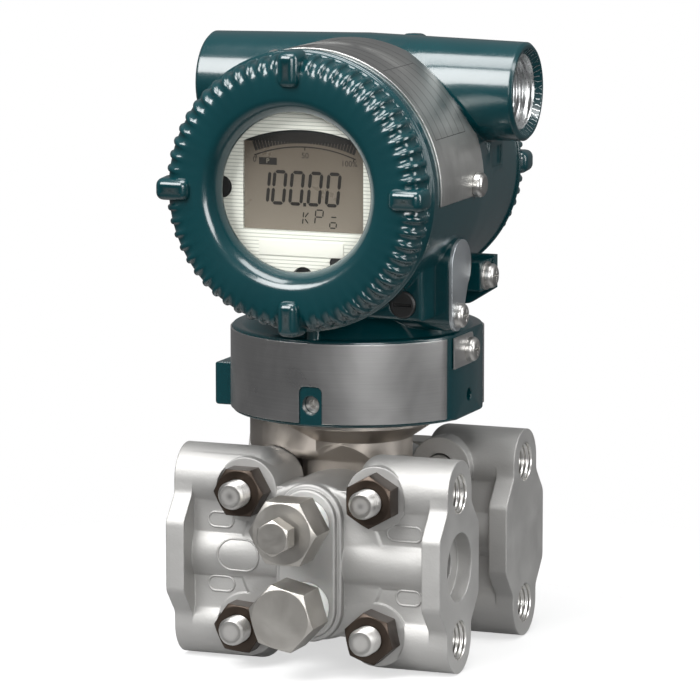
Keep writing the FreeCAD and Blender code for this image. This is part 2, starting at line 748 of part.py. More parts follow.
def guard_shape(start, length):
    """The teardrop of the zero screw's guard: a small foot under a round head, straight in front."""
    sheet_part = slab("YZ_Plane", [("guard_front", guard_foot), (guard_foot_y + " + guard_foot_radius", guard_foot),
                                   (guard_mid + " + guard_head_radius", guard_head), ("guard_front", guard_head)],
                      start, length)
    foot = rod("X", "guard_foot_radius", (start, guard_foot_y, guard_foot), length)
    head = rod("X", "guard_head_radius", (start, guard_mid, guard_head), length)
    return join(sheet_part, foot, head)


guard_boss = guard_shape("zero_x - guard_deep", guard_face + " - zero_x + guard_deep")
ground_boss = softened(block(("zero_x", "ground_y - ground_half", "ground_z - ground_half"),
                             ("ground_face", "ground_y + ground_half", "ground_z + ground_half")),
                       "cast_round", lambda edge: along("X")(edge))
fin = slab("XZ_Plane", [("zero_x", "zero_low - run_out"), ("zero_side", "zero_low"), ("fin_x", "zero_z"),
                        ("fin_x", "ground_z + ground_half + run_out"), ("zero_x", "ground_z + ground_half + run_out")],
           "-ground_y - ground_half - fin_thick", "fin_thick")
frame_low = ("barrel_radius - frame_deep", "tube_y - frame_edge", "housing_axis + frame_rise")
frame_high = ("barrel_radius - frame_inset", "tube_y + frame_width - frame_edge",
              "housing_axis + frame_rise + frame_height")
cast_frame = softened(block(frame_low, frame_high), "cast_round",
                      lambda edge: edge.CenterOfMass.x > size(frame_high[0]) - 0.1)
frame_dip = block(("barrel_radius - frame_inset - frame_sink", "tube_y",
                   "housing_axis + frame_rise + frame_edge"),
                  ("barrel_radius + run_out", "tube_y + frame_width - 2 * frame_edge",
                   "housing_axis + frame_rise + frame_height - frame_edge"))
lock_post = rod("Z", "post_radius", ("0", "-collar_radius + post_inset", "collar_high - run_out"),
                "housing_axis - barrel_radius - collar_high + 2 * run_out")
solid = join(barrel, tube_end(1), tube_end(-1), collar, stop, neck_cone, neck_stem, zero_block, guard_boss,
             ground_boss, fin, cast_frame, lock_post)
front_hollow = turned("Y", [("0", "-barrel_front - run_out"), ("front_bore", "-barrel_front - run_out"),
                            ("front_bore", "-front_thread"), ("front_room", "-front_thread + run_out"),
                            ("front_room", "-front_floor"), ("0", "-front_floor")], axis_at)
rear_hollow = turned("Y", [("0", "rear_floor"), ("rear_room", "rear_floor"), ("rear_room", "rear_thread - run_out"),
                           ("rear_bore", "rear_thread"), ("rear_bore", "barrel_back + run_out"),
                           ("0", "barrel_back + run_out")], axis_at)
socket = rod("Z", "spigot_radius + socket_clear", ("0", "0", "collar_low - run_out"),
             "socket_top - collar_low + run_out")
wire_way = rod("Z", "wire_radius", ("0", "-front_floor - wire_radius - run_out", "socket_top - run_out"),
               "housing_axis - socket_top - 2 * wire_radius")
flat = block(("collar_flat", "-collar_radius", "collar_low - run_out"),
             ("collar_radius + run_out", "collar_radius", "collar_high"))
lock_holes = [rod("Y", "lock_radius + screw_clear", ("0", start, "collar_low + lock_rise"),
                  "collar_radius + run_out - spigot_radius")
              for start in ("-collar_radius - run_out", "spigot_radius")]
tab_hole = rod("X", "pan_shank", ("collar_flat - screw_way", "tab_screw_y", "tab_low + tab_screw_rise"),
               "screw_way + run_out")
spare_hole = rod("X", "pan_shank", ("collar_flat - screw_way", "spare_y", "tab_low - spare_drop"),
                 "screw_way + run_out")
zero_hole = rod("Y", "zero_radius + zero_clear", ("zero_x", "-zero_face - run_out", "zero_z"),
                "zero_depth + run_out")
guard_hole = rod("X", "pan_shank", (guard_face + " - screw_way", guard_foot_y, guard_foot), "screw_way + run_out")
ground_hole = rod("X", "pan_shank", ("ground_face - screw_way", "ground_y", "ground_z"), "screw_way + run_out")


def plate_screw(angle, start, radius, length):
    """A bar set radially in the barrel at an angle from +X, under the nameplate's end."""
    bar = doc.addObject("Part::Cylinder", "radial")
    bind(bar, Radius=radius, Height=length)
    turn = FreeCAD.Rotation(FreeCAD.Vector(0, -1, 0), size(angle))
    at = turn.multVec(FreeCAD.Vector(size(start), 0, 0))
    bar.Placement = FreeCAD.Placement(FreeCAD.Vector(at.x, -size("plate_screw_y"), at.z + size("housing_axis")),
                                      turn.multiply(ALONG["X"]))
    return bar


plate_angles = ("plate_screw_angle", "plate_end - plate_screw_angle + plate_start")
plate_holes = [plate_screw(angle, "barrel_radius - plate_screw_depth", "pan_shank", "plate_screw_depth + run_out")
               for angle in plate_angles]
shell = cut(solid, front_hollow, rear_hollow, conduit_hole(1), conduit_hole(-1), socket, wire_way, flat,
            frame_dip, tab_hole, spare_hole, zero_hole, guard_hole, ground_hole, *lock_holes, *plate_holes)
pillars = [rod("Y", "spacer_radius", ("spacer_circle * cos(%d)" % turn, "-board_front + board_thick",
                                      "housing_axis + spacer_circle * sin(%d)" % turn),
               "board_front - board_thick - front_floor + run_out / 2") for turn in (30, 150, 270)]
node("amplifier_housing", join(shell, *pillars))

# ---- steel band round the collar, its screw and the turn locks -----------------------------------


def band_wall():
    """The band's thickness, as a ring all the way round the collar."""
    return cut(rod("Z", "collar_radius + band_gap + band_thick", ("0", "0", "band_low"), "band_high - band_low"),
               rod("Z", "collar_radius + band_gap", ("0", "0", "band_low - run_out"),
                   "band_high - band_low + 2 * run_out"))


notch_front = "-collar_radius - 2 * run_out"
notch = join(block(("-band_notch", notch_front, "band_low - run_out"),
                   ("band_notch", "0", "band_notch_top - band_notch / 2")),
             block(("-band_notch / 2", notch_front, "band_low"), ("band_notch / 2", "0", "band_notch_top")),
             *[rod("Y", "band_notch / 2", (sign + "band_notch / 2", notch_front, "band_notch_top - band_notch / 2"),
                   "collar_radius + 2 * run_out") for sign in ("", "-")])
facet_gap = block(("collar_flat - run_out", "-collar_radius", "band_low - run_out"),
                  ("collar_radius + 2 * run_out", "collar_radius", "band_high + run_out"))
stop_gap = block(("-stop_x - run_out", "-stop_half - stop_clear", "band_low - run_out"),
                 ("0", "stop_half + stop_clear", "stop_high + stop_clear"))
tab = block(("collar_flat + band_gap", "-tab_front", "tab_low"),
            ("collar_flat + band_gap + band_thick", "tab_back", "band_high"))
bend = block(("collar_flat - run_out", "-flat_half", "tab_low"),
             ("collar_flat + band_gap + band_thick", "-tab_front", "band_high"))
band_skin = meet(bend, band_wall())
tab_sheet = softened(join(tab, block(("collar_flat + band_gap", "-flat_half - band_thick", "tab_low"),
                                     ("collar_flat + band_gap + band_thick", "-tab_front", "band_high"))),
                     "tab_round", lambda edge: along("X")(edge) and edge.CenterOfMass.y > size("tab_back") - 0.1)
band_cut = cut(band_wall(), notch, facet_gap, stop_gap)
node("tag_band", cut(join(band_cut, band_skin, tab_sheet),
                     rod("X", "pan_shank + screw_clear",
                         ("collar_flat - run_out", "tab_screw_y", "tab_low + tab_screw_rise"), "4 * run_out")))


def pan_screw(x, y, z, shank):
    """A pan-head screw set along -X, its head's seat at x."""
    head = softened(rod("X", "pan_radius", (x, y, z), "pan_thick"), "pan_thick * 0.6",
                    level("X", "%s + pan_thick" % x))
    cross = join(*[block(("%s + pan_thick - slot_depth" % x, "%s - %s" % (y, half_y), "%s - %s" % (z, half_z)),
                         ("%s + pan_thick + run_out" % x, "%s + %s" % (y, half_y), "%s + %s" % (z, half_z)))
                   for half_y, half_z in (("slot_width / 2", "pan_radius / 2"), ("pan_radius / 2", "slot_width / 2"))])
    return cut(join(head, rod("X", "pan_shank - screw_clear", ("%s - (%s)" % (x, shank), y, z), shank)), cross)


node("tag_band_screw", pan_screw("collar_flat + band_gap + band_thick", "tab_screw_y",
                                 "tab_low + tab_screw_rise", "screw_way - run_out"))
lock_screws = []
for side in (-1, 1):
    inner = "spigot_radius + lock_gap"
    outer = "collar_radius - lock_recess"
    start = inner if side > 0 else "-(%s)" % outer
    screw = rod("Y", "lock_radius", ("0", start, "collar_low + lock_rise"), "%s - (%s)" % (outer, inner))
    hex_start = "%s - lock_socket" % outer if side > 0 else "-(%s) - run_out" % outer
    lock_screws.append(cut(screw, hexagon("Y", "lock_radius", ("0", hex_start, "collar_low + lock_rise"),
                                          "lock_socket + run_out", 30)))
node("rotation_lock_screws", group(*lock_screws))

# ---- screwed covers: turned bodies with a ribbed grip and four wrench lugs -----------------------


def cover_points(out, inner, rim, ring, grip, shoulder, face, front, bore, hollow):
    """Outline of a screwed cover, (radius, distance out): window or centre first, skirt and groove last."""
    skirt = "%s - skirt_clear" % bore
    root = "%s - groove_depth" % skirt
    wall = "%s - skirt_wall" % skirt
    seat = "%s + cover_gap" % out
    groove_out = "%s - groove_inset" % seat
    groove_in = "%s - groove_width" % groove_out
    return [(face, front), (shoulder, "%s - face_bevel" % front), (grip, "%s + grip_back" % out),
            (ring, "%s + grip_back - ring_step" % out), (ring, "%s + cover_gap + rim_depth + ring_step" % out),
            (rim, "%s + cover_gap + rim_depth" % out), (rim, seat), (skirt, seat), (skirt, groove_out),
            (root, groove_out), (root, groove_in), (skirt, groove_in), (skirt, "%s - skirt_depth" % seat),
            (wall, "%s - skirt_depth" % seat)] + hollow + inner


def screwed_cover(side, points, rib, lug):
    """Turns the outline, then sets ribs round the grip and four lugs on the edge of the face."""
    facing = [(u, ("-(%s)" if side < 0 else "%s") % v) for u, v in points]
    disc = turned("Y", facing, axis_at)
    ribs = []
    fin_points = [(u, ("-(%s)" if side < 0 else "%s") % v) for u, v in rib]
    blade = slab("XY_Plane", fin_points, "-rib_width / 2", "rib_width")
    for quarter in range(4):
        for k in range(int(size("rib_count"))):
            turn = quarter * 90 + size("rib_first") + k * size("rib_pitch")
            copy = doc.addObject("Part::Feature", "rib")
            doc.recompute() if not ribs else None
            copy.Shape = blade.Shape
            copy.Placement = FreeCAD.Placement(FreeCAD.Vector(0, 0, size("housing_axis")),
                                               FreeCAD.Rotation(FreeCAD.Vector(0, 1, 0), turn))
            ribs.append(copy)
    lugs = []
    inner, outer, low, high = lug
    for turn in (0, 90, 180, 270):
        near, far = ("-(%s)" % high, "-(%s)" % low) if side < 0 else (low, high)
        bar = softened(block((inner, near, "-lug_width / 2"), (outer, far, "lug_width / 2")), "2 * cast_round",
                       lambda edge: along("Y")(edge) or level("Y", near if side < 0 else far)(edge))
        doc.recompute()
        copy = doc.addObject("Part::Feature", "lug")
        copy.Shape = bar.Shape
        copy.Placement = FreeCAD.Placement(FreeCAD.Vector(0, 0, size("housing_axis")),
                                           FreeCAD.Rotation(FreeCAD.Vector(0, 1, 0), turn))
        lugs.append(copy)
    return join(disc, *ribs, *lugs)


glass_back = "face_front - window_depth - gasket_thick - glass_thick"
window = [("glass_radius + glass_clear", glass_back + " - retainer_thick - ring_step"),
          ("glass_radius + glass_clear", "face_front - window_depth"),
          ("window_radius", "face_front - window_depth"), ("window_mid", "face_front - window_mid_depth"),
          ("window_outer", "face_front")]
front_wall = "front_bore - skirt_clear - skirt_wall"
front_points = cover_points("barrel_front", window, "rim_radius", "ring_radius", "grip_radius",
                            "grip_shoulder_radius", "face_radius", "face_front", "front_bore",
                            [(front_wall, glass_back + " - retainer_thick - ring_step")])


def rib_points(out, face, shoulder, grip, ring, front):
    """Outline of one grip rib: up from the face's edge, round the shoulder, down into the ring."""
    return [(face, "%s - 2 * face_bevel" % front), (face, "%s - ring_step" % front),
            ("%s - ring_step" % shoulder, "%s - ring_step" % front),
            ("%s + rib_proud" % shoulder, "%s - face_bevel" % front),
            ("%s + rib_proud" % grip, "%s - 2 * face_bevel" % front),
            ("%s - ring_step / 2" % ring, "%s + grip_back - ring_step" % out),
            ("%s - face_bevel" % grip, "%s + grip_back - ring_step" % out)]


front_rib = rib_points("barrel_front", "face_radius", "grip_shoulder_radius", "grip_radius", "ring_radius",
                       "face_front")
node("front_cover", screwed_cover(-1, front_points, front_rib,
                                  ("lug_inner", "lug_outer", "barrel_front + lug_back", "face_front + lug_proud")))
rear_hollow_points = [("rear_bore - skirt_clear - skirt_wall", "rear_face - rear_wall"),
                      ("0", "rear_face - rear_wall")]
rear_points = cover_points("barrel_back", [("0", "rear_face")], "rear_rim", "rear_rim - rim_depth / 2", "rear_grip",
                           "rear_shoulder", "rear_face_radius", "rear_face", "rear_bore", rear_hollow_points)
rear_rib = rib_points("barrel_back", "rear_face_radius", "rear_shoulder", "rear_grip", "rear_rim - rim_depth / 2",
                      "rear_face")
node("rear_cover", screwed_cover(1, rear_points, rear_rib,
                                 ("rear_lug_inner", "rear_lug_outer", "barrel_back + lug_back",
                                  "rear_face + lug_proud")))


def cover_seal(sign, edge, bore):
    """The round-wire ring in a cover's skirt groove."""
    wire = "(groove_depth + skirt_clear) / 2 - seal_clear"
    return seal("Y", "%s - skirt_clear - groove_depth / 2 + skirt_clear / 2" % bore, wire,
                ("0", "%s(%s + cover_gap - groove_inset - groove_width / 2)" % (sign, edge), "housing_axis"))


node("front_cover_seal", cover_seal("-", "barrel_front", "front_bore"))
node("rear_cover_seal", cover_seal("", "barrel_back", "rear_bore"))


def disc_ring(outer, inner, front, back):
    """A flat ring or disc about the barrel's axis between two distances ahead of the neck axis."""
    ring = rod("Y", outer, ("0", "-(%s)" % front, "housing_axis"), "(%s) - (%s)" % (front, back))
    if inner is None:
        return ring
    return cut(ring, rod("Y", inner, ("0", "-(%s) - run_out" % front, "housing_axis"),
                         "(%s) - (%s) + 2 * run_out" % (front, back)))


glass_front = "face_front - window_depth - gasket_thick"
node("window_gasket", disc_ring("glass_radius", "window_radius + ring_step * 2",
                                "face_front - window_depth", glass_front))
node("window_glass", disc_ring("glass_radius", None, glass_front, glass_back))
node("window_retainer", disc_ring("glass_radius", "retainer_radius", glass_back,
                                  glass_back + " - retainer_thick"))

# ---- display, boards and their spacers in the front room ----------------------------------------
dial_back = "dial_front - dial_thick"
dial_through = "dial_thick + 2 * run_out"
arc_radius = "((lcd_half ^ 2 + (lcd_high - lcd_side) ^ 2) / (2 * (lcd_high - lcd_side)))"
aperture = meet(block(("-lcd_half", "-dial_front - run_out", "lcd_low"),
                      ("lcd_half", "-(%s) + run_out" % dial_back, "lcd_high + run_out")),
                rod("Y", arc_radius, ("0", "-dial_front - run_out", "lcd_high - " + arc_radius), dial_through))
notches = [rod("Y", "notch_radius", ("%d * notch_reach" % dx, "-dial_front - run_out",
                                     "housing_axis + %d * notch_reach" % dz), dial_through)
           for dx, dz in ((-1, 0), (1, 0), (0, -1))]
button_way = rod("Y", "button_radius + button_clear", ("button_x", "-dial_front - run_out", "button_z"),
                 dial_through)
node("dial_plate", cut(disc_ring("dial_radius", None, "dial_front", dial_back), aperture, button_way, *notches))
lcd_front = "-(dial_front - lcd_sink)"
case_front = "-(%s) + lcd_sink" % dial_back
node("lcd_panel", block(("-lcd_half + lcd_clear", lcd_front, "lcd_low + lcd_clear"),
                        ("lcd_half - lcd_clear", case_front, "lcd_side - lcd_clear")))
shade = rod("Y", "dial_radius", ("0", "-(%s)" % dial_back, "housing_axis"), "lcd_sink")
lcd_pocket = block(("-lcd_half", "-(%s) - run_out" % dial_back, "lcd_low"), ("lcd_half", case_front, "lcd_side"))
button_pocket = rod("Y", "button_radius + button_clear", ("button_x", "-(%s) - run_out" % dial_back, "button_z"),
                    "4 * run_out")
screw_ways = [rod("Y", "dial_screw_radius + lcd_clear",
                  ("%d * notch_reach" % dx, "-(%s) - run_out" % dial_back, "housing_axis"),
                  "dial_screw_long + 2 * run_out") for dx in (-1, 1)]
node("display_case", cut(join(shade, disc_ring("case_radius", None, dial_back + " - lcd_sink", "case_back")),
                         lcd_pocket, button_pocket, *screw_ways))
node("display_screws", group(*[join(
    rod("Y", "dial_head_radius", ("%d * notch_reach" % dx, "-(%s) - dial_head_thick" % dial_back, "housing_axis"),
        "dial_head_thick"),
    rod("Y", "dial_screw_radius", ("%d * notch_reach" % dx, "-(%s)" % dial_back, "housing_axis"),
        "dial_screw_long")) for dx in (-1, 1)]))
node("range_button", rod("Y", "button_radius", ("button_x", "-dial_front - button_proud", "button_z"),
                         "dial_thick + run_out"))
node("main_board", disc_ring("board_radius", None, "board_front", "board_front - board_thick"))
node("display_spacers", group(*[rod("Y", "spacer_radius", ("spacer_circle * cos(%d)" % turn, "-case_back",
                                                           "housing_axis + spacer_circle * sin(%d)" % turn),
                                    "case_back - board_front") for turn in (90, 210, 330)]))

# ---- terminal block in the rear room ----------------------------------------------------------
block_back = "rear_floor + block_thick"
base = softened(block(("-block_half", "rear_floor", "block_low"), ("block_half", block_back, "block_high")),
                "block_round", along("Y"))
fences = [block(("%s - rib_thick / 2" % x, block_back, "block_low + block_round"),
                ("%s + rib_thick / 2" % x, block_back + " + rib_height", "block_high - block_round"))
          for x in ("-1.5 * terminal_pitch", "-terminal_pitch / 2", "terminal_pitch / 2", "1.5 * terminal_pitch")]
middle_z = "(block_low + block_high) / 2"
bar_fence = block(("-1.5 * terminal_pitch", block_back, middle_z + " - rib_thick / 2"),
                  ("1.5 * terminal_pitch", block_back + " + rib_height", middle_z + " + rib_thick / 2"))
terminal_places = [(x, z) for x in ("-terminal_pitch", "0", "terminal_pitch")
                   for z in (middle_z + " + terminal_row", middle_z + " - terminal_row")]
terminal_holes = [rod("Y", "pan_shank", (x, "rear_floor + terminal_base", z), "block_thick")
                  for x, z in terminal_places]
node("terminal_block", cut(join(base, bar_fence, *fences), *terminal_holes))
heads = []
for x, z in terminal_places:
    head = rod("Y", "terminal_radius", (x, block_back, z), "terminal_thick")
    slot = block(("%s - terminal_radius" % x, block_back + " + terminal_thick - slot_depth", "%s - slot_width / 2" % z),
                 ("%s + terminal_radius" % x, block_back + " + terminal_thick + run_out", "%s + slot_width / 2" % z))
    shank = rod("Y", "pan_shank - screw_clear", (x, "rear_floor + terminal_base + run_out", z),
                "block_thick - terminal_base - run_out")
    heads.append(cut(join(head, shank), slot))
node("terminal_screws", group(*heads))

# ---- nameplate bent round the barrel --------------------------------------------------------------
sheet_ring = cut(rod("Y", "barrel_radius + plate_thick + plate_gap", ("0", "-plate_front", "housing_axis"),
                     "plate_front - plate_back"),
                 rod("Y", "barrel_radius + plate_gap", ("0", "-plate_front - run_out", "housing_axis"),
                     "plate_front - plate_back + 2 * run_out"))
wedge = slab("XZ_Plane", [("0", "housing_axis")] +
             [("1.6 * barrel_radius * cos(%s)" % angle, "housing_axis + 1.6 * barrel_radius * sin(%s)" % angle)
              for angle in ("plate_start", "30", "75", "plate_end")],
             "plate_back - run_out", "plate_front + 2 * run_out")
relief = rod("X", "tube_middle + plate_relief", ("-tube_half", "tube_y", "tube_z"), "2 * tube_half")
plate_ways = [plate_screw(angle, "barrel_radius - run_out", "pan_shank + screw_clear", "3 * run_out")
              for angle in plate_angles]
node("nameplate", cut(meet(sheet_ring, wedge), relief, *plate_ways))
plate_screws = []
for angle in plate_angles:
    head = softened(plate_screw(angle, "barrel_radius + plate_thick + 2 * plate_gap", "pan_radius", "pan_thick"),
                    "pan_thick * 0.6", lambda edge: isinstance(edge.Curve, Part.Circle)
                    and edge.CenterOfMass.sub(FreeCAD.Vector(0, edge.CenterOfMass.y, size("housing_axis"))).Length
                    > size("barrel_radius + plate_thick + pan_thick / 2"))
    shank = plate_screw(angle, "barrel_radius - plate_screw_depth + plate_gap", "pan_shank - screw_clear",
                        "plate_screw_depth + run_out")
    plate_screws.append(join(head, shank))
node("nameplate_screws", group(*plate_screws))

# ---- zero screw, its guard, and the earth screw ----------------------------------------------------
zero_front = "-zero_face - zero_proud"
zero_body = softened(rod("Y", "zero_radius", ("zero_x", zero_front, "zero_z"),
                         "zero_depth + zero_proud - run_out / 2"), "zero_proud", level("Y", zero_front))
zero_slot = block(("zero_x - zero_radius * 0.7", zero_front + " - run_out", "zero_z - slot_width / 2"),
                  ("zero_x + zero_radius * 0.7", zero_front + " + slot_depth", "zero_z + slot_width / 2"))
node("zero_screw", cut(zero_body, zero_slot))
node("zero_guard_plate", cut(guard_shape(guard_face, "guard_thick"),
                             rod("X", "pan_shank + screw_clear",
                                 (guard_face + " - run_out", guard_foot_y, guard_foot), "4 * run_out")))
node("guard_screw", pan_screw(guard_face + " + guard_thick", guard_foot_y, guard_foot, "screw_way - run_out"))
node("earth_washer", cut(rod("X", "pan_radius + washer_proud", ("ground_face", "ground_y", "ground_z"),
                             "washer_thick"),
                         rod("X", "pan_shank", ("ground_face - run_out", "ground_y", "ground_z"),
                             "washer_thick + 2 * run_out")))
node("earth_screw", pan_screw("ground_face + washer_thick", "ground_y", "ground_z", "screw_way - run_out"))

# ---- check every piece, then write it --------------------------------------------------------------
doc.recompute()
faults = [thing.Name for thing in doc.Objects if "Invalid" in thing.State or "Error" in thing.State]
for name, piece in nodes.items():
    if piece.Shape.isNull() or not piece.Shape.isValid() or not piece.Shape.Solids:
        faults.append(name)
if faults:
    raise RuntimeError("failed: " + ", ".join(faults))
os.makedirs("parts", exist_ok=True)
for name, piece in nodes.items():
    piece.Shape.exportStep("parts/%s.step" % name)
    print(name, len(piece.Shape.Solids), "solids", round(piece.Shape.Volume / 1000, 2), "cm3")
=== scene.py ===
# Differential pressure transmitter: an enamelled two-compartment housing with a dial window,
# on a steel capsule that four studs clamp between two cast process covers. Metres, +Z up,
# +X along the conduit tube; the dial faces -Y.
import json
import math
import bmesh
import bpy
import numpy as np
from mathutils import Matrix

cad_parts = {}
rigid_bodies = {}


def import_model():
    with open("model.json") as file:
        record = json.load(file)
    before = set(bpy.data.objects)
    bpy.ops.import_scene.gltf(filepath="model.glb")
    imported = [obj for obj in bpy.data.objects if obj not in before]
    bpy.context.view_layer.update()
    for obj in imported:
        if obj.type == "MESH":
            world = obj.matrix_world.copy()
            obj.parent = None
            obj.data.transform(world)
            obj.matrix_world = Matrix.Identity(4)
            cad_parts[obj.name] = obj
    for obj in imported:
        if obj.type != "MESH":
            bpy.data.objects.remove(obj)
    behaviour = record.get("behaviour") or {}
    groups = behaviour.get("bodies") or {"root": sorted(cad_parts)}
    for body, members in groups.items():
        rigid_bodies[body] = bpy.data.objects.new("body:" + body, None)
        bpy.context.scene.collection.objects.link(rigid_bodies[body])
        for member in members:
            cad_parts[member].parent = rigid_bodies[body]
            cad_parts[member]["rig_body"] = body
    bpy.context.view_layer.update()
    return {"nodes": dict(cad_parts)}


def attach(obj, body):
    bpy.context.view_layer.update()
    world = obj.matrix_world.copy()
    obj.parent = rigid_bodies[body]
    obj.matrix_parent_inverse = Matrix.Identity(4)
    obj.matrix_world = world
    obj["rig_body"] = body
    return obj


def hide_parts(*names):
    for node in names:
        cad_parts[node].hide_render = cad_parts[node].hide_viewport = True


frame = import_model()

MM = 0.001

# ---- process covers: investment castings in stainless steel, bead blasted all over ------------------
# Each is three parallel tubes on a web between two end plates. The spot faces, ports and end
# faces are machined after blasting, and the threads are cut last.


def node_tree(tree, kind, **settings):
    """Adds a node: inputs are set by name with spaces as underscores, other settings by attribute."""
    new = tree.nodes.new(kind)
    for key, value in settings.items():
        name = key.replace("_", " ")
        if name in new.inputs:
            if isinstance(value, bpy.types.NodeSocket):
                tree.links.new(value, new.inputs[name])
            else:
                new.inputs[name].default_value = value
        else:
            setattr(new, key, value)
    return new


def effect(name, inputs, outputs):
    """A shader node group with named float or vector inputs and outputs."""
    tree = bpy.data.node_groups.new(name, "ShaderNodeTree")
    for label, kind, default in inputs:
        socket = tree.interface.new_socket(label, in_out="INPUT", socket_type=kind)
        socket.default_value = default
    for label, kind in outputs:
        tree.interface.new_socket(label, in_out="OUTPUT", socket_type=kind)
    return tree, tree.nodes.new("NodeGroupInput"), tree.nodes.new("NodeGroupOutput")


def sum_of(tree, first, second, operation="ADD", third=None):
    """A Math node on sockets or numbers."""
    new = tree.nodes.new("ShaderNodeMath")
    new.operation = operation
    for socket, value in zip(new.inputs, (first, second, third)):
        if isinstance(value, bpy.types.NodeSocket):
            tree.links.new(value, socket)
        elif value is not None:
            socket.default_value = value
    return new.outputs[0]


FLOAT, VECTOR = "NodeSocketFloat", "NodeSocketVector"

# Blasted skin: two sizes of pit for the bump, and a slow mottle for tone and gloss.
blasted, given, result = effect("blasted_skin", [("Pit Scale", FLOAT, 1800.0)],
                                [("Height", FLOAT), ("Mottle", FLOAT)])
place = node_tree(blasted, "ShaderNodeTexCoord").outputs["Object"]
fine = node_tree(blasted, "ShaderNodeTexNoise", Vector=place, Scale=given.outputs["Pit Scale"], Detail=3.0)
coarse = node_tree(blasted, "ShaderNodeTexNoise", Vector=place, Scale=420.0, Detail=2.0)
slow = node_tree(blasted, "ShaderNodeTexNoise", Vector=place, Scale=70.0, Detail=4.0, Roughness=0.6)
blasted.links.new(sum_of(blasted, fine.outputs["Fac"],
                         sum_of(blasted, coarse.outputs["Fac"], 0.8, "MULTIPLY")),
                  result.inputs["Height"])
blasted.links.new(slow.outputs["Fac"], result.inputs["Mottle"])

# Drawn lines: noise pulled out long along one direction, as brushing and turning leave it.
drawn, given, result = effect("drawn_lines", [("Stretch", VECTOR, (1.0, 1.0, 1.0))], [("Lines", FLOAT)])
place = node_tree(drawn, "ShaderNodeTexCoord").outputs["Object"]
pulled = node_tree(drawn, "ShaderNodeVectorMath", operation="MULTIPLY")
drawn.links.new(place, pulled.inputs[0])
drawn.links.new(given.outputs["Stretch"], pulled.inputs[1])
grain = node_tree(drawn, "ShaderNodeTexNoise", Vector=pulled.outputs[0], Scale=1.0, Detail=4.0, Roughness=0.7)
drawn.links.new(grain.outputs["Fac"], result.inputs["Lines"])

# Handling: faint smears and grime that vary the gloss of finished parts.
handled, given, result = effect("handling", [("Smear Scale", FLOAT, 60.0)], [("Smear", FLOAT)])
place = node_tree(handled, "ShaderNodeTexCoord").outputs["Object"]
smear = node_tree(handled, "ShaderNodeTexNoise", Vector=place, Scale=given.outputs["Smear Scale"],
                  Detail=5.0, Roughness=0.65, Distortion=0.6)
handled.links.new(smear.outputs["Fac"], result.inputs["Smear"])


def material(name, colour, metallic, roughness, **shader):
    """A material with its Principled shader, set by plain values; returns all three."""
    made = bpy.data.materials.new(name)
    made.use_nodes = True
    principled = made.node_tree.nodes["Principled BSDF"]
    principled.inputs["Base Color"].default_value = (*colour, 1.0)
    principled.inputs["Metallic"].default_value = metallic
    principled.inputs["Roughness"].default_value = roughness
    for key, value in shader.items():
        principled.inputs[key.replace("_", " ")].default_value = value
    return made, made.node_tree, principled


def use(tree, group, **values):
    """Places an effect group in a material with its own values."""
    new = tree.nodes.new("ShaderNodeGroup")
    new.node_tree = group
    for key, value in values.items():
        new.inputs[key.replace("_", " ")].default_value = value
    return new.outputs


def spread(tree, value, low, high, to_low, to_high):
    """Maps a 0-1 pattern onto a range of gloss or tone."""
    new = node_tree(tree, "ShaderNodeMapRange", Value=value)
    for label, number in (("From Min", low), ("From Max", high), ("To Min", to_low), ("To Max", to_high)):
        new.inputs[label].default_value = number
    return new.outputs["Result"]


def tinted(tree, value, first, second):
    """Runs a 0-1 pattern between two colours."""
    new = node_tree(tree, "ShaderNodeMix", data_type="RGBA")
    tree.links.new(value, new.inputs["Factor"])
    new.inputs["A"].default_value = (*first, 1.0)
    new.inputs["B"].default_value = (*second, 1.0)
    return next(o for o in new.outputs if o.type == "RGBA")


def relief(tree, principled, height, strength, distance, edge=0.0):
    """Feeds a bump, over softened edges where an edge radius is given, to the shader's normal."""
    bump = node_tree(tree, "ShaderNodeBump", Strength=strength, Distance=distance)
    if height is not None:
        tree.links.new(height, bump.inputs["Height"])
    if edge:
        tree.links.new(node_tree(tree, "ShaderNodeBevel", samples=6, Radius=edge).outputs[0],
                       bump.inputs["Normal"])
    tree.links.new(bump.outputs[0], principled.inputs["Normal"])


def finished(node, *looks, slot=None, angle=35, name=None):
    """A CAD node's own shape with its facets joined and shaded smooth, broken at real edges only.

    The normals that came with the facets are dropped, since they don't fit the joined mesh."""
    source = frame["nodes"][node]
    mesh = source.data.copy()
    work = bmesh.new()
    work.from_mesh(mesh)
    bmesh.ops.remove_doubles(work, verts=work.verts, dist=0.000002)
    work.to_mesh(mesh)
    work.free()
    if "custom_normal" in mesh.attributes:
        mesh.attributes.remove(mesh.attributes["custom_normal"])
    mesh.shade_smooth()
    mesh.set_sharp_from_angle(angle=math.radians(angle))
    mesh.materials.clear()
    for look in looks:
        mesh.materials.append(look)
    piece = bpy.data.objects.new(name or node + "_skin", mesh)
    bpy.context.scene.collection.objects.link(piece)
    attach(piece, source["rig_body"])
    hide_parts(node)
    return piece


cast_steel, tree, principled = material("blasted_cast_steel", (0.42, 0.415, 0.405), 1.0, 0.62)
skin = use(tree, blasted, Pit_Scale=1500.0)
tree.links.new(spread(tree, skin["Mottle"], 0.3, 0.7, 0.57, 0.69), principled.inputs["Roughness"])
tree.links.new(tinted(tree, skin["Mottle"], (0.37, 0.365, 0.355), (0.46, 0.455, 0.445)),
               principled.inputs["Base Color"])
relief(tree, principled, skin["Height"], 0.35, 0.00012, 0.0006)
for side in ("front", "rear"):
    finished(side + "_process_cover", cast_steel, slot="cast_steel")


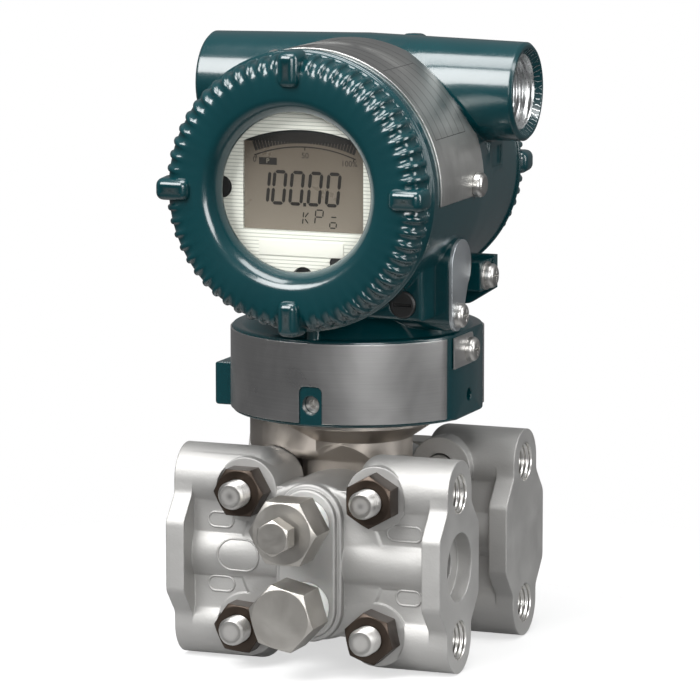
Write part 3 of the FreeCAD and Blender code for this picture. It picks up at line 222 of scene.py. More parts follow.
def lattice(name, points, around=False, across=False):
    """A mesh over a grid of points: quads between neighbours, wrapped where a direction closes."""
    rows, columns = points.shape[:2]
    index = np.arange(rows * columns).reshape(rows, columns)
    if around:
        index = np.vstack([index, index[:1]])
    if across:
        index = np.hstack([index, index[:, :1]])
    corners = np.stack([index[:-1, :-1], index[1:, :-1], index[1:, 1:], index[:-1, 1:]], -1).reshape(-1, 4)
    mesh = bpy.data.meshes.new(name)
    mesh.from_pydata(points.reshape(-1, 3).tolist(), [], corners.tolist())
    mesh.update()
    mesh.shade_smooth()
    piece = bpy.data.objects.new(name, mesh)
    bpy.context.scene.collection.objects.link(piece)
    return piece


def dressed(piece, body, look, slot, *nodes):
    """Gives a new piece its material and its body, and hides the nodes it stands for; the slot is not used.
    """
    piece.data.materials.clear()
    piece.data.materials.append(look)
    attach(piece, body)
    if nodes:
        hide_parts(*nodes)
    return piece


def placed(points, axis, at):
    """Turns points made about +Z so that they lie along an axis such as -Y, then moves them."""
    x, y, z = np.moveaxis(points, -1, 0)
    turned = {"+X": (z, y, -x), "-X": (-z, y, x), "+Y": (x, z, -y), "-Y": (x, -z, y), "+Z": (x, y, z)}[axis]
    return np.stack(turned, -1) + np.array(at)


def thread(name, axis, mouth, radius, length, pitch, depth, inward=True, around=48, per_turn=8):
    """A screw thread: radius = r - depth * |saw(height / pitch - angle)|, run out to nothing at both ends."""
    height = np.linspace(0, length, int(length / pitch * per_turn) + 1)
    angle = np.linspace(0, 2 * math.pi, around, endpoint=False)
    turn, up = np.meshgrid(angle, height, indexing="ij")
    saw = np.abs(((up / pitch - turn / (2 * math.pi)) % 1.0) * 2 - 1)
    fade = np.clip(np.minimum(up, length - up) / pitch, 0, 1)
    cut = depth * np.clip(saw * 1.25 - 0.1, 0, 1) * fade
    wide = radius - cut if inward else radius + cut
    points = np.stack([wide * np.cos(turn), wide * np.sin(turn), -up], -1)
    if inward:
        points = points[::-1]
    return lattice(name, placed(points, axis, mouth), around=True)


threaded_steel, tree, principled = material("cut_steel_thread", (0.60, 0.59, 0.57), 1.0, 0.3)
marks = use(tree, drawn, Stretch=(3000.0, 3000.0, 3000.0))
tree.links.new(spread(tree, marks["Lines"], 0.3, 0.7, 0.24, 0.4), principled.inputs["Roughness"])
relief(tree, principled, marks["Lines"], 0.1, 0.00005)
cover_row, cover_end, port_height, hole_step = 27.0, 41.0, 30.1, 20.65
for side, y, body in (("front", -cover_row, "process_body"), ("rear", cover_row, "process_body")):
    for end, x in (("+X", cover_end), ("-X", -cover_end)):
        for level, z in (("upper", port_height + hole_step), ("lower", port_height - hole_step)):
            hole = thread("%s_%s_thread_%s" % (side, level, "right" if x > 0 else "left"), end,
                          (x * MM, y * MM, z * MM), 5.54 * MM, 13.9 * MM, 1.27 * MM, 0.55 * MM)
            dressed(hole, body, threaded_steel, "cast_steel")

# Raised outlines cast into the front cover's web and ridge, around fields left bare.


def obround_path(half_width, half_height, count=96):
    """Outline of an oblong with round ends: straight runs along X joined by half circles."""
    turn = np.linspace(0, 2 * math.pi, count, endpoint=False)
    across = (half_width - half_height) * np.sign(np.cos(turn))
    return across + half_height * np.cos(turn), half_height * np.sin(turn)


def bead(name, path, radius, sides=8):
    """A round bead along a closed path: p + r (cos t * sideways + sin t * outwards), outwards being -Y."""
    ahead = np.roll(path, -1, 0) - np.roll(path, 1, 0)
    ahead /= np.linalg.norm(ahead, axis=1)[:, None]
    sideways = np.cross(ahead, (0.0, -1.0, 0.0))
    sideways /= np.linalg.norm(sideways, axis=1)[:, None]
    outwards = np.cross(sideways, ahead)
    turn = np.linspace(0, 2 * math.pi, sides, endpoint=False)[None, :, None]
    points = path[:, None] + radius * (np.cos(turn) * sideways[:, None] + np.sin(turn) * outwards[:, None])
    return lattice(name, points[:, ::-1], around=True, across=True)


ridge, lobe, web, disc_front, disc_edge = 10.0, 9.45, 7.8, 8.3, 22.4
for name, x, z, half_width, half_height in (
        ("upper_left", -27.5, 40.1, 3.8, 2.1), ("middle_left", -21.5, 30.6, 6.2, 4.4),
        ("lower_left", -27.4, 21.8, 3.9, 2.1), ("upper_right", 27.7, 39.9, 5.2, 2.1),
        ("lower_right", 28.9, 21.9, 3.7, 2.1)):
    along, up = obround_path(half_width, half_height)
    from_port = z + up - port_height
    rise = np.sqrt(np.clip(ridge ** 2 - from_port ** 2, web ** 2, None))
    for centre in (hole_step, -hole_step):
        rise = np.maximum(rise, np.sqrt(np.clip(lobe ** 2 - (from_port - centre) ** 2, 0, None)))
    rise = np.where((x + along) ** 2 + from_port ** 2 < disc_edge ** 2, np.maximum(rise, disc_front), rise)
    path = np.stack([x + along, -cover_row - rise, z + up], -1) * MM
    dressed(bead("cast_outline_" + name, path, 0.33 * MM), "process_body", cast_steel, "cast_steel")

# ---- capsule and neck: one machined stainless steel body ---------------------------------------------
# Turned and then ground; heat from welding the sensor in has left the neck slightly brown.
turned_steel, tree, principled = material("turned_steel", (0.5, 0.46, 0.42), 1.0, 0.3)
marks = use(tree, drawn, Stretch=(60.0, 60.0, 3200.0))
smears = use(tree, handled, Smear_Scale=45.0)
tree.links.new(spread(tree, smears["Smear"], 0.3, 0.7, 0.26, 0.42), principled.inputs["Roughness"])
tree.links.new(tinted(tree, smears["Smear"], (0.42, 0.37, 0.32), (0.58, 0.54, 0.5)),
               principled.inputs["Base Color"])
relief(tree, principled, marks["Lines"], 0.25, 0.00006, 0.0004)
finished("capsule_body", turned_steel, slot="machined_steel")

# ---- isolating diaphragms, cover gaskets and the neck's ring seal ------------------------------------
# Thin foil welded to the capsule, white fluoropolymer rings in their grooves, and a black round ring.
foil, tree, principled = material("diaphragm_foil", (0.72, 0.72, 0.7), 1.0, 0.16)
smears = use(tree, handled, Smear_Scale=120.0)
tree.links.new(spread(tree, smears["Smear"], 0.3, 0.7, 0.12, 0.24), principled.inputs["Roughness"])
finished("isolating_diaphragms", foil, slot="stud_steel")

white_tape, tree, principled = material("white_tape", (0.86, 0.85, 0.82), 0.0, 0.55, Subsurface_Weight=0.1)
marks = use(tree, drawn, Stretch=(500.0, 3000.0, 500.0))
tree.links.new(tinted(tree, marks["Lines"], (0.74, 0.73, 0.7), (0.93, 0.92, 0.89)),
               principled.inputs["Base Color"])
relief(tree, principled, marks["Lines"], 0.5, 0.0002)
finished("cover_gaskets", white_tape, slot="tape")

seal_rubber, tree, principled = material("seal_rubber", (0.012, 0.012, 0.012), 0.0, 0.5)
smears = use(tree, handled, Smear_Scale=200.0)
tree.links.new(spread(tree, smears["Smear"], 0.3, 0.7, 0.4, 0.62), principled.inputs["Roughness"])
relief(tree, principled, smears["Smear"], 0.1, 0.0002)
finished("neck_seal", seal_rubber, slot="seal_rubber")

# ---- studs: rolled stainless steel, threaded at the front, with hexagon heads behind -------------------
# Shank and heads keep their own shape; the ends that stand out of the nuts carry the rolled thread.


def threaded_end(name, axis, tip, radius, length, pitch, depth, point, around=64, per_turn=12):
    """A stud's end: r = the lesser of R - depth * saw(height / pitch - angle) and the point's cone."""
    height = np.concatenate([[0.0, 0.0], np.linspace(0, length, int(length / pitch * per_turn))])
    angle = np.linspace(0, 2 * math.pi, around, endpoint=False)
    turn, up = np.meshgrid(angle, height, indexing="ij")
    saw = np.abs(((up / pitch - turn / (2 * math.pi)) % 1.0) * 2 - 1)
    wide = np.minimum(radius - depth * np.clip(saw * 1.3 - 0.15, 0, 1), radius - point + 1.2 * up)
    wide[:, 0] = 0.0
    points = np.stack([wide * np.cos(turn), wide * np.sin(turn), -up], -1)
    return lattice(name, placed(points, axis, tip), around=True)


bright_steel, tree, principled = material("bright_rolled_steel", (0.5, 0.49, 0.475), 1.0, 0.36)
smears = use(tree, handled, Smear_Scale=160.0)
tree.links.new(spread(tree, smears["Smear"], 0.3, 0.7, 0.3, 0.44), principled.inputs["Roughness"])
tree.links.new(tinted(tree, smears["Smear"], (0.42, 0.41, 0.39), (0.56, 0.55, 0.535)),
               principled.inputs["Base Color"])
relief(tree, principled, smears["Smear"], 0.08, 0.0001, 0.0003)
studs = finished("flange_bolts", bright_steel, slot="stud_steel")
nut_front = -(27.0 + 8.3 + 6.5)
work = bmesh.new()
work.from_mesh(studs.data)
bmesh.ops.bisect_plane(work, geom=list(work.verts) + list(work.edges) + list(work.faces), dist=1e-7,
                       plane_co=(0, (nut_front + 0.6) * MM, 0), plane_no=(0, -1, 0), clear_outer=True)
work.to_mesh(studs.data)
work.free()
stud_x, stud_z, stud_tip = 19.5, 19.25, -(27.0 + 8.3 + 12.1)
for name, x, z in (("upper_left", -stud_x, stud_z), ("upper_right", stud_x, stud_z),
                   ("lower_left", -stud_x, -stud_z), ("lower_right", stud_x, -stud_z)):
    end = threaded_end("stud_end_" + name, "-Y", (x * MM, stud_tip * MM, (port_height + z) * MM), 3.99 * MM,
                       6.3 * MM, 1.25 * MM, 0.5 * MM, 0.9 * MM)
    dressed(end, "process_body", bright_steel, "stud_steel")

# ---- nuts: alloy steel with a dark brown heat-treated skin, bevelled on the outer face -----------------
dark_nut, tree, principled = material("browned_nut", (0.035, 0.026, 0.02), 0.75, 0.34)
skin = use(tree, blasted, Pit_Scale=900.0)
tree.links.new(spread(tree, skin["Mottle"], 0.3, 0.7, 0.28, 0.46), principled.inputs["Roughness"])
tree.links.new(tinted(tree, skin["Mottle"], (0.022, 0.015, 0.011), (0.07, 0.052, 0.04)),
               principled.inputs["Base Color"])
relief(tree, principled, skin["Height"], 0.15, 0.0001, 0.0005)
finished("flange_nuts", dark_nut, slot="nut_steel", angle=25)

# ---- vent and drain plugs with their vent screws: turned from hexagon bar ------------------------------
# The flats keep the bar's drawn lines; the ends are faced, and the corners turned back.
bar_steel, tree, principled = material("drawn_hexagon_bar", (0.42, 0.4, 0.37), 1.0, 0.4)
marks = use(tree, drawn, Stretch=(1500.0, 90.0, 1500.0))
smears = use(tree, handled, Smear_Scale=110.0)
tree.links.new(spread(tree, smears["Smear"], 0.3, 0.7, 0.35, 0.48), principled.inputs["Roughness"])
tree.links.new(tinted(tree, smears["Smear"], (0.34, 0.32, 0.29), (0.48, 0.465, 0.44)),
               principled.inputs["Base Color"])
relief(tree, principled, marks["Lines"], 0.12, 0.00005, 0.0004)
for side in ("front", "rear"):
    for piece in ("_vent_plug", "_vent_screw", "_drain_plug"):
        finished(side + piece, bar_steel, slot="machined_steel", angle=22)

# ---- thread tape: white fluoropolymer film wound on the plugs' threads ---------------------------------


def wound_tape(name, axis, at, radius, thick, length, turns=5.0, around=72, along=40):
    """Layers of film: r = R + thick * (0.45 + 0.4 * saw(turns of the helix) + a slow ripple)."""
    turn, up = np.meshgrid(np.linspace(0, 2 * math.pi, around, endpoint=False),
                           np.linspace(0, length, along), indexing="ij")
    saw = (turns * up / length - turn / (2 * math.pi)) % 1.0
    ripple = 0.12 * np.sin(5 * turn + 900 * up) * np.sin(3 * turn)
    ends = np.clip(np.minimum(up, length - up) / (0.06 * length), 0, 1) ** 0.5
    wide = radius + thick * (0.45 + 0.38 * saw + ripple) * ends
    points = np.stack([wide * np.cos(turn), wide * np.sin(turn), -up], -1)
    return lattice(name, placed(points, axis, at), around=True)


plug_step, land_front, plug_gap = 11.8, 27.0 + 8.3 + 2.1 + 1.6, 7.5
for side, facing in (("front", -1), ("rear", 1)):
    for level, step in (("vent", plug_step), ("drain", -plug_step)):
        wrap = wound_tape("%s_%s_tape" % (side, level), "-Y" if facing < 0 else "+Y",
                          (0, facing * (land_front + plug_gap - 0.05) * MM, (port_height + step) * MM),
                          6.62 * MM, 0.48 * MM, (plug_gap - 0.1) * MM)
        dressed(wrap, "process_body", white_tape, "tape")
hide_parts("thread_tape")

# ---- amplifier housing: die-cast aluminium under a thick coat of dark teal enamel ----------------------
# Barrel, conduit tube, neck and collar are one casting. The coat is glossy, with faint orange peel,
# and thins to a lighter line on sharp edges.
enamel, tree, principled = material("teal_enamel", (0.0, 0.024, 0.029), 0.0, 0.24,
                                    Coat_Weight=0.4, Coat_Roughness=0.08)
skin = use(tree, blasted, Pit_Scale=420.0)
smears = use(tree, handled, Smear_Scale=30.0)
tree.links.new(spread(tree, smears["Smear"], 0.3, 0.7, 0.17, 0.27), principled.inputs["Roughness"])
tree.links.new(tinted(tree, skin["Mottle"], (0.0005, 0.021, 0.0255), (0.0005, 0.028, 0.033)),
               principled.inputs["Base Color"])
relief(tree, principled, skin["Height"], 0.12, 0.00015, 0.0006)
finished("amplifier_housing", enamel, slot="enamel")

# Conduit entries: bevel and thread are cut after painting, so they are bare aluminium.
bare_cast, tree, principled = material("cut_aluminium", (0.62, 0.63, 0.63), 1.0, 0.28)
marks = use(tree, drawn, Stretch=(2500.0, 2500.0, 2500.0))
tree.links.new(spread(tree, marks["Lines"], 0.3, 0.7, 0.2, 0.4), principled.inputs["Roughness"])
relief(tree, principled, marks["Lines"], 0.1, 0.00005)


def turned_ring(name, axis, at, profile, around=96):
    """A turned skin: the profile's (radius, depth) points carried round an axis."""
    radius, depth = (np.array(column)[None, :] for column in zip(*profile))
    turn = np.linspace(0, 2 * math.pi, around, endpoint=False)[:, None]
    points = np.stack([radius * np.cos(turn), radius * np.sin(turn), -depth + 0 * turn], -1) * MM
    return lattice(name, placed(points, axis, at), around=True)


tube_half, tube_y, tube_z = 47.7, 8.4, 159.3
for name, axis, facing in (("right", "+X", 1), ("left", "-X", -1)):
    mouth = (facing * (tube_half - 1.8) * MM, tube_y * MM, tube_z * MM)
    sleeve = thread("conduit_thread_" + name, axis, mouth, 10.44 * MM, 16.9 * MM, 1.814 * MM, 0.95 * MM,
                    around=96)
    dressed(sleeve, "housing", bare_cast, "enamel")
    bevel = turned_ring("conduit_bevel_" + name, axis, (facing * tube_half * MM, tube_y * MM, tube_z * MM),
                        [(10.44, 1.86), (12.2, 0.1)])
    dressed(bevel, "housing", bare_cast, "enamel")

# ---- tag band: a strip of brushed stainless steel sprung round the collar, held by one screw -----------
brushed, tree, principled = material("brushed_sheet", (0.56, 0.555, 0.545), 1.0, 0.3, Anisotropic=0.55)
marks = use(tree, drawn, Stretch=(35.0, 35.0, 2600.0))
smears = use(tree, handled, Smear_Scale=35.0)
tree.links.new(spread(tree, smears["Smear"], 0.3, 0.7, 0.25, 0.38), principled.inputs["Roughness"])
tree.links.new(tinted(tree, marks["Lines"], (0.47, 0.465, 0.46), (0.63, 0.625, 0.615)),
               principled.inputs["Base Color"])
relief(tree, principled, marks["Lines"], 0.2, 0.00004, 0.0003)
finished("tag_band", brushed, slot="sheet_steel")

# ---- small screws: bright stainless steel, cross-recessed or with a hexagon socket ---------------------
for node in ("tag_band_screw", "rotation_lock_screws", "guard_screw", "earth_screw", "earth_washer",
             "nameplate_screws", "terminal_screws"):
    finished(node, bright_steel, slot="screw_steel", angle=30)

# ---- front cover: a turned die casting with a dished rim round the window, a ribbed grip and lugs ------


def rounded(corners, reach, steps=3):
    """Softens a closed outline: each corner becomes the curve (1-t)^2 a + 2t(1-t) b + t^2 c."""
    corners = np.array(corners, float)
    reach = np.broadcast_to(np.array(reach, float), len(corners))[:, None]
    before, after = np.roll(corners, 1, 0) - corners, np.roll(corners, -1, 0) - corners
    start = np.linalg.norm(before, axis=1)[:, None]
    end = np.linalg.norm(after, axis=1)[:, None]
    first = corners + before / start * np.minimum(reach, 0.45 * start)
    last = corners + after / end * np.minimum(reach, 0.45 * end)
    t = np.linspace(0, 1, steps)[None, :, None]
    curve = (1 - t) ** 2 * first[:, None] + 2 * t * (1 - t) * corners[:, None] + t ** 2 * last[:, None]
    return curve.reshape(-1, 2)


def ribbed_cover(name, plain, ribbed, reach, facing, axis_height, first=8.52, pitch=6.08, count=13, half=0.95,
                 grip=37.4):
    """A turned outline whose grip swells into ribs: p = plain + w(angle) * (ribbed - plain).

    w is 1 on a rib's crown and falls to 0 at its foot as (1 - s^3), s being the distance across it."""
    across = np.array([-1.0, -0.93, -0.8, -0.6, -0.3, 0.0, 0.3, 0.6, 0.8, 0.93, 1.0])
    swell = np.clip(1 - np.abs(across) ** 3.2, 0, None)
    crowns = (np.arange(4)[:, None] * 90 + first + np.arange(count)[None, :] * pitch).ravel()
    width = math.degrees(half / grip)
    angle = (crowns[:, None] + across[None, :] * width).ravel()
    weight = np.tile(swell, len(crowns))
    gaps = (np.arange(4)[:, None] * 90 + np.linspace(-5, 5, 7)[None, :]).ravel() % 360
    angle, weight = np.append(angle, gaps), np.append(weight, 0 * gaps)
    order = np.argsort(angle)
    turn, weight = np.radians(angle[order])[:, None], weight[order][:, None]
    base, high = rounded(plain, reach), rounded(ribbed, reach)
    radius = base[None, :, 0] + weight * (high - base)[None, :, 0]
    out = base[None, :, 1] + weight * (high - base)[None, :, 1]
    points = np.stack([radius * np.cos(turn), facing * out + 0 * turn,
                       axis_height + radius * np.sin(turn)], -1)
    return lattice(name, points[::-int(facing)] * MM, around=True, across=True)


def rounded_block(name, half, radius, at, taper=0.0, detail=6):
    """A box with round edges: p = sign(n) * (half - r) + r * n, n running over a sphere by octants."""
    half, at = np.array(half), np.array(at)
    turn = np.concatenate([np.linspace(q, q + 1, detail) for q in range(4)]) * math.pi / 2
    side = np.repeat(np.arange(4) + 0.5, detail) * math.pi / 2
    rise = np.concatenate([np.linspace(-1, 0, detail), np.linspace(0, 1, detail)]) * math.pi / 2
    level = np.repeat([-1.0, 1.0], detail)
    round_part = np.stack([np.cos(rise)[None] * np.cos(turn)[:, None],
                           np.cos(rise)[None] * np.sin(turn)[:, None],
                           np.sin(rise)[None] + 0 * turn[:, None]], -1)
    signs = np.stack([np.sign(np.cos(side))[:, None] + 0 * rise[None],
                      np.sign(np.sin(side))[:, None] + 0 * rise[None],
                      level[None] + 0 * turn[:, None]], -1)
    points = signs * (half - radius) + radius * round_part
    cap = np.repeat(points[:, [0, -1]].mean(0, keepdims=True), len(points), 0)
    points = np.concatenate([cap[:, :1], points, cap[:, 1:]], 1)
    points[..., :2] *= 1 - taper * (points[..., 2:] / half[2] + 1) / 2
    return lattice(name, (points + at) * MM, around=True)


def lugs(name, count_at, near, far, low, high, half_width, facing, radius=2.3):
    """Four wrench lugs: round-edged blocks set radially on the cover's face, joined in one mesh."""
    pieces = []
    for turn in count_at:
        block = rounded_block(name, ((far - near) / 2, half_width, (high - low) / 2), radius,
                              ((far + near) / 2, 0, 0), taper=0.12)
        x, y, z = np.array([v.co for v in block.data.vertices]).T
        cosine, sine = math.cos(turn), math.sin(turn)
        moved = np.stack([x * cosine - y * sine * facing, facing * (z + (high + low) / 2 * MM),
                          x * sine + y * cosine * facing + 135.1 * MM], -1)
        block.data.vertices.foreach_set("co", moved.ravel())
        pieces.append(block)
    with bpy.context.temp_override(active_object=pieces[0], selected_editable_objects=pieces):
        bpy.ops.object.join()
    return pieces[0]


housing_axis = 135.1
front_plain = [(33.2, 51.4), (35.0, 50.6), (36.7, 49.3), (37.4, 46.7), (37.7, 43.6), (38.3, 43.3),
               (38.3, 42.5), (39.0, 42.2), (39.0, 41.1), (34.6, 41.1), (34.6, 40.8), (33.0, 40.8),
               (33.0, 39.0), (34.6, 39.0), (34.6, 33.4), (31.8, 33.4), (31.8, 40.3), (27.6, 40.3),
               (27.6, 45.2), (21.9, 45.2), (22.5, 48.0), (25.3, 51.4)]
front_ribbed = list(front_plain)
front_ribbed[1:5] = [(35.6, 51.1), (37.2, 49.4), (38.25, 47.0), (38.2, 43.6)]
reach = [1.2, 1.0, 1.6, 1.2, 0.5, 0.4, 0.3, 0.35, 0.15, 0.2, 0.1, 0.1, 0.1, 0.1, 0.3, 0.3, 0.3, 0.2, 0.1, 0.5,
         1.6, 1.5]
cover = ribbed_cover("front_cover_casting", front_plain, front_ribbed, reach, -1.0, housing_axis)
dressed(cover, "front_cover_assembly", enamel, "enamel", "front_cover")
quarters = [q * math.pi / 2 for q in range(4)]
front_lugs = lugs("front_cover_lugs", quarters, 28.8, 39.7, 44.6, 53.7, 3.4, -1.0)
dressed(front_lugs, "front_cover_assembly", enamel, "enamel")

# ---- rear cover: the same kind of casting, smaller and closed --------------------------------------------
rear_plain = [(0.0, 47.2), (14.0, 47.2), (29.6, 47.2), (31.4, 46.4), (32.9, 45.1), (33.7, 42.4),
              (34.0, 39.4), (34.85, 39.1), (34.85, 38.3), (35.4, 38.0), (35.4, 36.9), (30.9, 36.9),
              (30.9, 36.6), (29.3, 36.6), (29.3, 34.8), (30.9, 34.8), (30.9, 29.2), (28.1, 29.2),
              (28.1, 41.6), (0.0, 41.6)]
rear_ribbed = list(rear_plain)
rear_ribbed[3:7] = [(32.0, 46.9), (33.45, 45.1), (34.5, 42.8), (34.5, 39.4)]
reach = [0.0, 0.5, 1.2, 1.0, 1.4, 1.0, 0.5, 0.4, 0.3, 0.35, 0.15, 0.2, 0.1, 0.1, 0.1, 0.1, 0.3, 0.3, 0.3, 0.0]
cover = ribbed_cover("rear_cover_casting", rear_plain, rear_ribbed, reach, 1.0, housing_axis, grip=33.7)
dressed(cover, "rear_cover_assembly", enamel, "enamel", "rear_cover")
rear_lugs = lugs("rear_cover_lugs", quarters, 25.2, 36.0, 40.4, 49.5, 3.4, 1.0)
dressed(rear_lugs, "rear_cover_assembly", enamel, "enamel")

# ---- ring seals and window: black rubber rings, and toughened glass held by a spring ring ---------------
for node in ("front_cover_seal", "rear_cover_seal", "window_gasket"):
    finished(node, seal_rubber, slot="seal_rubber")
finished("window_retainer", bright_steel, slot="stud_steel")
glass, tree, principled = material("toughened_glass", (0.9, 0.95, 0.94), 0.0, 0.02, IOR=1.5)
edge_on = node_tree(tree, "ShaderNodeFresnel", IOR=1.45)
tree.links.new(spread(tree, edge_on.outputs["Fac"], 0.03, 1.0, 0.0, 0.6), principled.inputs["Alpha"])
smears = use(tree, handled, Smear_Scale=25.0)
tree.links.new(spread(tree, smears["Smear"], 0.3, 0.7, 0.01, 0.06), principled.inputs["Roughness"])
finished("window_glass", glass, slot="window")

# ---- dial: an off-white plastic plate with fine pinstripes, cut out for the display --------------------
dial, tree, principled = material("pinstriped_dial", (0.72, 0.72, 0.65), 0.0, 0.45)
place = node_tree(tree, "ShaderNodeTexCoord").outputs["Object"]
stripes = node_tree(tree, "ShaderNodeTexWave", Vector=place, bands_direction="Z", wave_type="BANDS",
                    Scale=310.0)
lines = spread(tree, stripes.outputs["Fac"], 0.0, 0.25, 0.0, 1.0)
tree.links.new(tinted(tree, lines, (0.42, 0.43, 0.38), (0.76, 0.765, 0.69)), principled.inputs["Base Color"])
relief(tree, principled, lines, 0.3, 0.0001, 0.0002)
finished("dial_plate", dial, slot="dial")
dial_front = -41.0
strip = rounded_block("dial_strip", (12.6, 0.15, 2.1), 0.14, (-0.5, dial_front - 0.12, 118.9))
plain_dial, tree, principled = material("plain_dial", (0.72, 0.72, 0.65), 0.0, 0.5)
skin = use(tree, blasted, Pit_Scale=2500.0)
tree.links.new(spread(tree, skin["Mottle"], 0.3, 0.7, 0.45, 0.6), principled.inputs["Roughness"])
relief(tree, principled, skin["Height"], 0.1, 0.00005)
dressed(strip, "housing", plain_dial, "dial")

# ---- display: a grey-brown liquid crystal panel; its segments are printed films --------------------------
panel, tree, principled = material("liquid_crystal_panel", (0.13, 0.11, 0.085), 0.0, 0.3, Coat_Weight=0.3,
                                   Coat_Roughness=0.1)
place = node_tree(tree, "ShaderNodeTexCoord").outputs["Object"]
# Painted shade: the panel's colour runs from dark at its top edge to lighter towards its bottom.
height = node_tree(tree, "ShaderNodeSeparateXYZ", Vector=place).outputs["Z"]
shade_from_top = spread(tree, height, 0.150, 0.124, 0.0, 1.0)
tree.links.new(tinted(tree, shade_from_top, (0.085, 0.068, 0.05), (0.2, 0.175, 0.14)), principled.inputs["Base Color"])
smears = use(tree, handled, Smear_Scale=80.0)
tree.links.new(spread(tree, smears["Smear"], 0.3, 0.7, 0.26, 0.36), principled.inputs["Roughness"])
finished("lcd_panel", panel, slot="display")

ink, tree, principled = material("black_segments", (0.008, 0.006, 0.004), 0.0, 0.4)
smears = use(tree, handled, Smear_Scale=80.0)
tree.links.new(spread(tree, smears["Smear"], 0.3, 0.7, 0.35, 0.5), principled.inputs["Roughness"])
pale_ink, tree, principled = material("pale_segments", (0.2, 0.18, 0.14), 0.0, 0.4)
smears = use(tree, handled, Smear_Scale=80.0)
tree.links.new(spread(tree, smears["Smear"], 0.3, 0.7, 0.35, 0.5), principled.inputs["Roughness"])
panel_front = -40.3


def film(name, shapes, front, look=ink, body="housing", slot="display"):
    """Flat printed shapes facing -Y: each row of corners (x, z) is one convex face."""
    shapes = [np.array(shape, float) for shape in shapes]
    corners = np.concatenate(shapes)
    ends = np.cumsum([0] + [len(shape) for shape in shapes])
    points = np.stack([corners[:, 0], np.full(len(corners), front), corners[:, 1]], -1) * MM
    mesh = bpy.data.meshes.new(name)
    mesh.from_pydata(points.tolist(), [], [list(range(a, b)) for a, b in zip(ends[:-1], ends[1:])])
    work = bmesh.new()
    work.from_mesh(mesh)
    for face in work.faces:
        if face.normal.y > 0:
            face.normal_flip()
    work.to_mesh(mesh)
    work.free()
    piece = bpy.data.objects.new(name, mesh)
    bpy.context.scene.collection.objects.link(piece)
    return dressed(piece, body, look, slot)


def stroke(start, end, width):
    """A segment with pointed ends from one point to another."""
    start, end = np.array(start, float), np.array(end, float)
    ahead = (end - start) / np.linalg.norm(end - start)
    beside = np.array([-ahead[1], ahead[0]]) * width / 2
    inset = ahead * width / 2
    return [start, start + inset + beside, end - inset + beside, end, end - inset - beside,
            start + inset - beside]


def digit(shape, x, z, width, height, slant=0.1, bar=0.95):
    """A seven-segment figure: the strokes named in shape, leaning by the slant."""
    gap = 0.12
    nodes = {"tl": (0, 1), "tr": (1, 1), "ml": (0, 0.5), "mr": (1, 0.5), "bl": (0, 0), "br": (1, 0)}
    pairs = {"a": "tl tr", "b": "tr mr", "c": "mr br", "d": "bl br", "e": "ml bl", "f": "tl ml", "g": "ml mr"}
    strokes = []
    for letter in shape:
        a, b = (np.array(nodes[key]) * (width, height) for key in pairs[letter].split())
        a, b = (np.array((p[0] + slant * p[1] + x, p[1] + z)) for p in (a, b))
        ahead = (b - a) / np.linalg.norm(b - a)
        strokes.append(stroke(a + ahead * gap, b - ahead * gap, bar))
    return strokes


figures = digit("bc", -14.2, 131.2, 3.3, 8.7)
for x in (-9.4, -4.2, 1.2, 6.6):
    figures += digit("abcdef", x, 131.2, 3.3, 8.7)
figures.append([(-0.2, 130.6), (0.7, 130.6), (0.7, 131.6), (-0.2, 131.6)])
film("display_figures", figures, panel_front - 0.03)
units = digit("ef", -0.4, 125.6, 1.6, 3.6, bar=0.36) + [stroke((0.3, 127.6), (1.4, 129.0), 0.34),
                                                        stroke((0.3, 127.2), (1.3, 125.9), 0.34)]
units += digit("abefg", 3.2, 125.9, 2.2, 3.9, bar=0.36) + digit("cdega", 7.6, 125.0, 1.9, 3.0, bar=0.36)
film("display_unit", units, panel_front - 0.03)
film("display_flag", [[(-13.3, 141.7), (-8.0, 141.7), (-8.0, 143.7), (-13.3, 143.7)]], panel_front - 0.03)


def arc_strip(centre, inner, outer, low, high, count):
    """Corners of an arc's cells about (x, z): count cells between two angles from the vertical."""
    edges = np.radians(np.linspace(low, high, count + 1))
    return [[(centre[0] + r * math.sin(a), centre[1] + r * math.cos(a))
             for r, a in ((inner, edges[k]), (outer, edges[k]), (outer, edges[k + 1]), (inner, edges[k + 1]))]
            for k in range(count)]


scale_centre = (0.3, 106.0)
bar_cells = []
for low in np.linspace(-20.5, 20.5, 34)[:-1]:
    bar_cells += arc_strip(scale_centre, 42.0, 44.9, low + 0.08, low + 1.16, 1)
film("bar_scale", bar_cells, panel_front - 0.03)
film("bar_scale_line", arc_strip(scale_centre, 40.85, 41.2, -21.5, 21.5, 44), panel_front - 0.03)
ticks = [stroke((scale_centre[0] + 40.0 * math.sin(a), scale_centre[1] + 40.0 * math.cos(a)),
                (scale_centre[0] + 41.2 * math.sin(a), scale_centre[1] + 41.2 * math.cos(a)), 0.3)
         for a in np.radians([-20.8, 0.0, 20.8])]
film("bar_scale_ticks", ticks, panel_front - 0.03)


def printed(name, text, x, z, height, front, look=ink, slot="display"):
    """Words as flat faces, centred on a point and facing -Y."""
    curve = bpy.data.curves.new(name, "FONT")
    curve.body = text
    curve.size = height * MM
    curve.align_x = "CENTER"
    curve.align_y = "CENTER"
    curve.resolution_u = 4
    holder = bpy.data.objects.new(name + "_text", curve)
    mesh = bpy.data.meshes.new_from_object(holder)
    bpy.data.objects.remove(holder)
    flat = np.array([v.co for v in mesh.vertices])
    points = np.stack([flat[:, 0] + x * MM, np.full(len(flat), front * MM), flat[:, 1] + z * MM], -1)
    mesh.vertices.foreach_set("co", points.ravel())
    mesh.update()
    piece = bpy.data.objects.new(name, mesh)
    bpy.context.scene.collection.objects.link(piece)
    return dressed(piece, "housing", look, slot)


printed("scale_low", "0", -14.6, 143.0, 2.2, panel_front - 0.03)
printed("scale_middle", "50", 0.4, 144.6, 2.2, panel_front - 0.03)
printed("scale_high", "100%", 13.4, 142.9, 2.2, panel_front - 0.03)
printed("flag_letter", "P", -10.7, 142.7, 1.9, panel_front - 0.05, look=pale_ink)

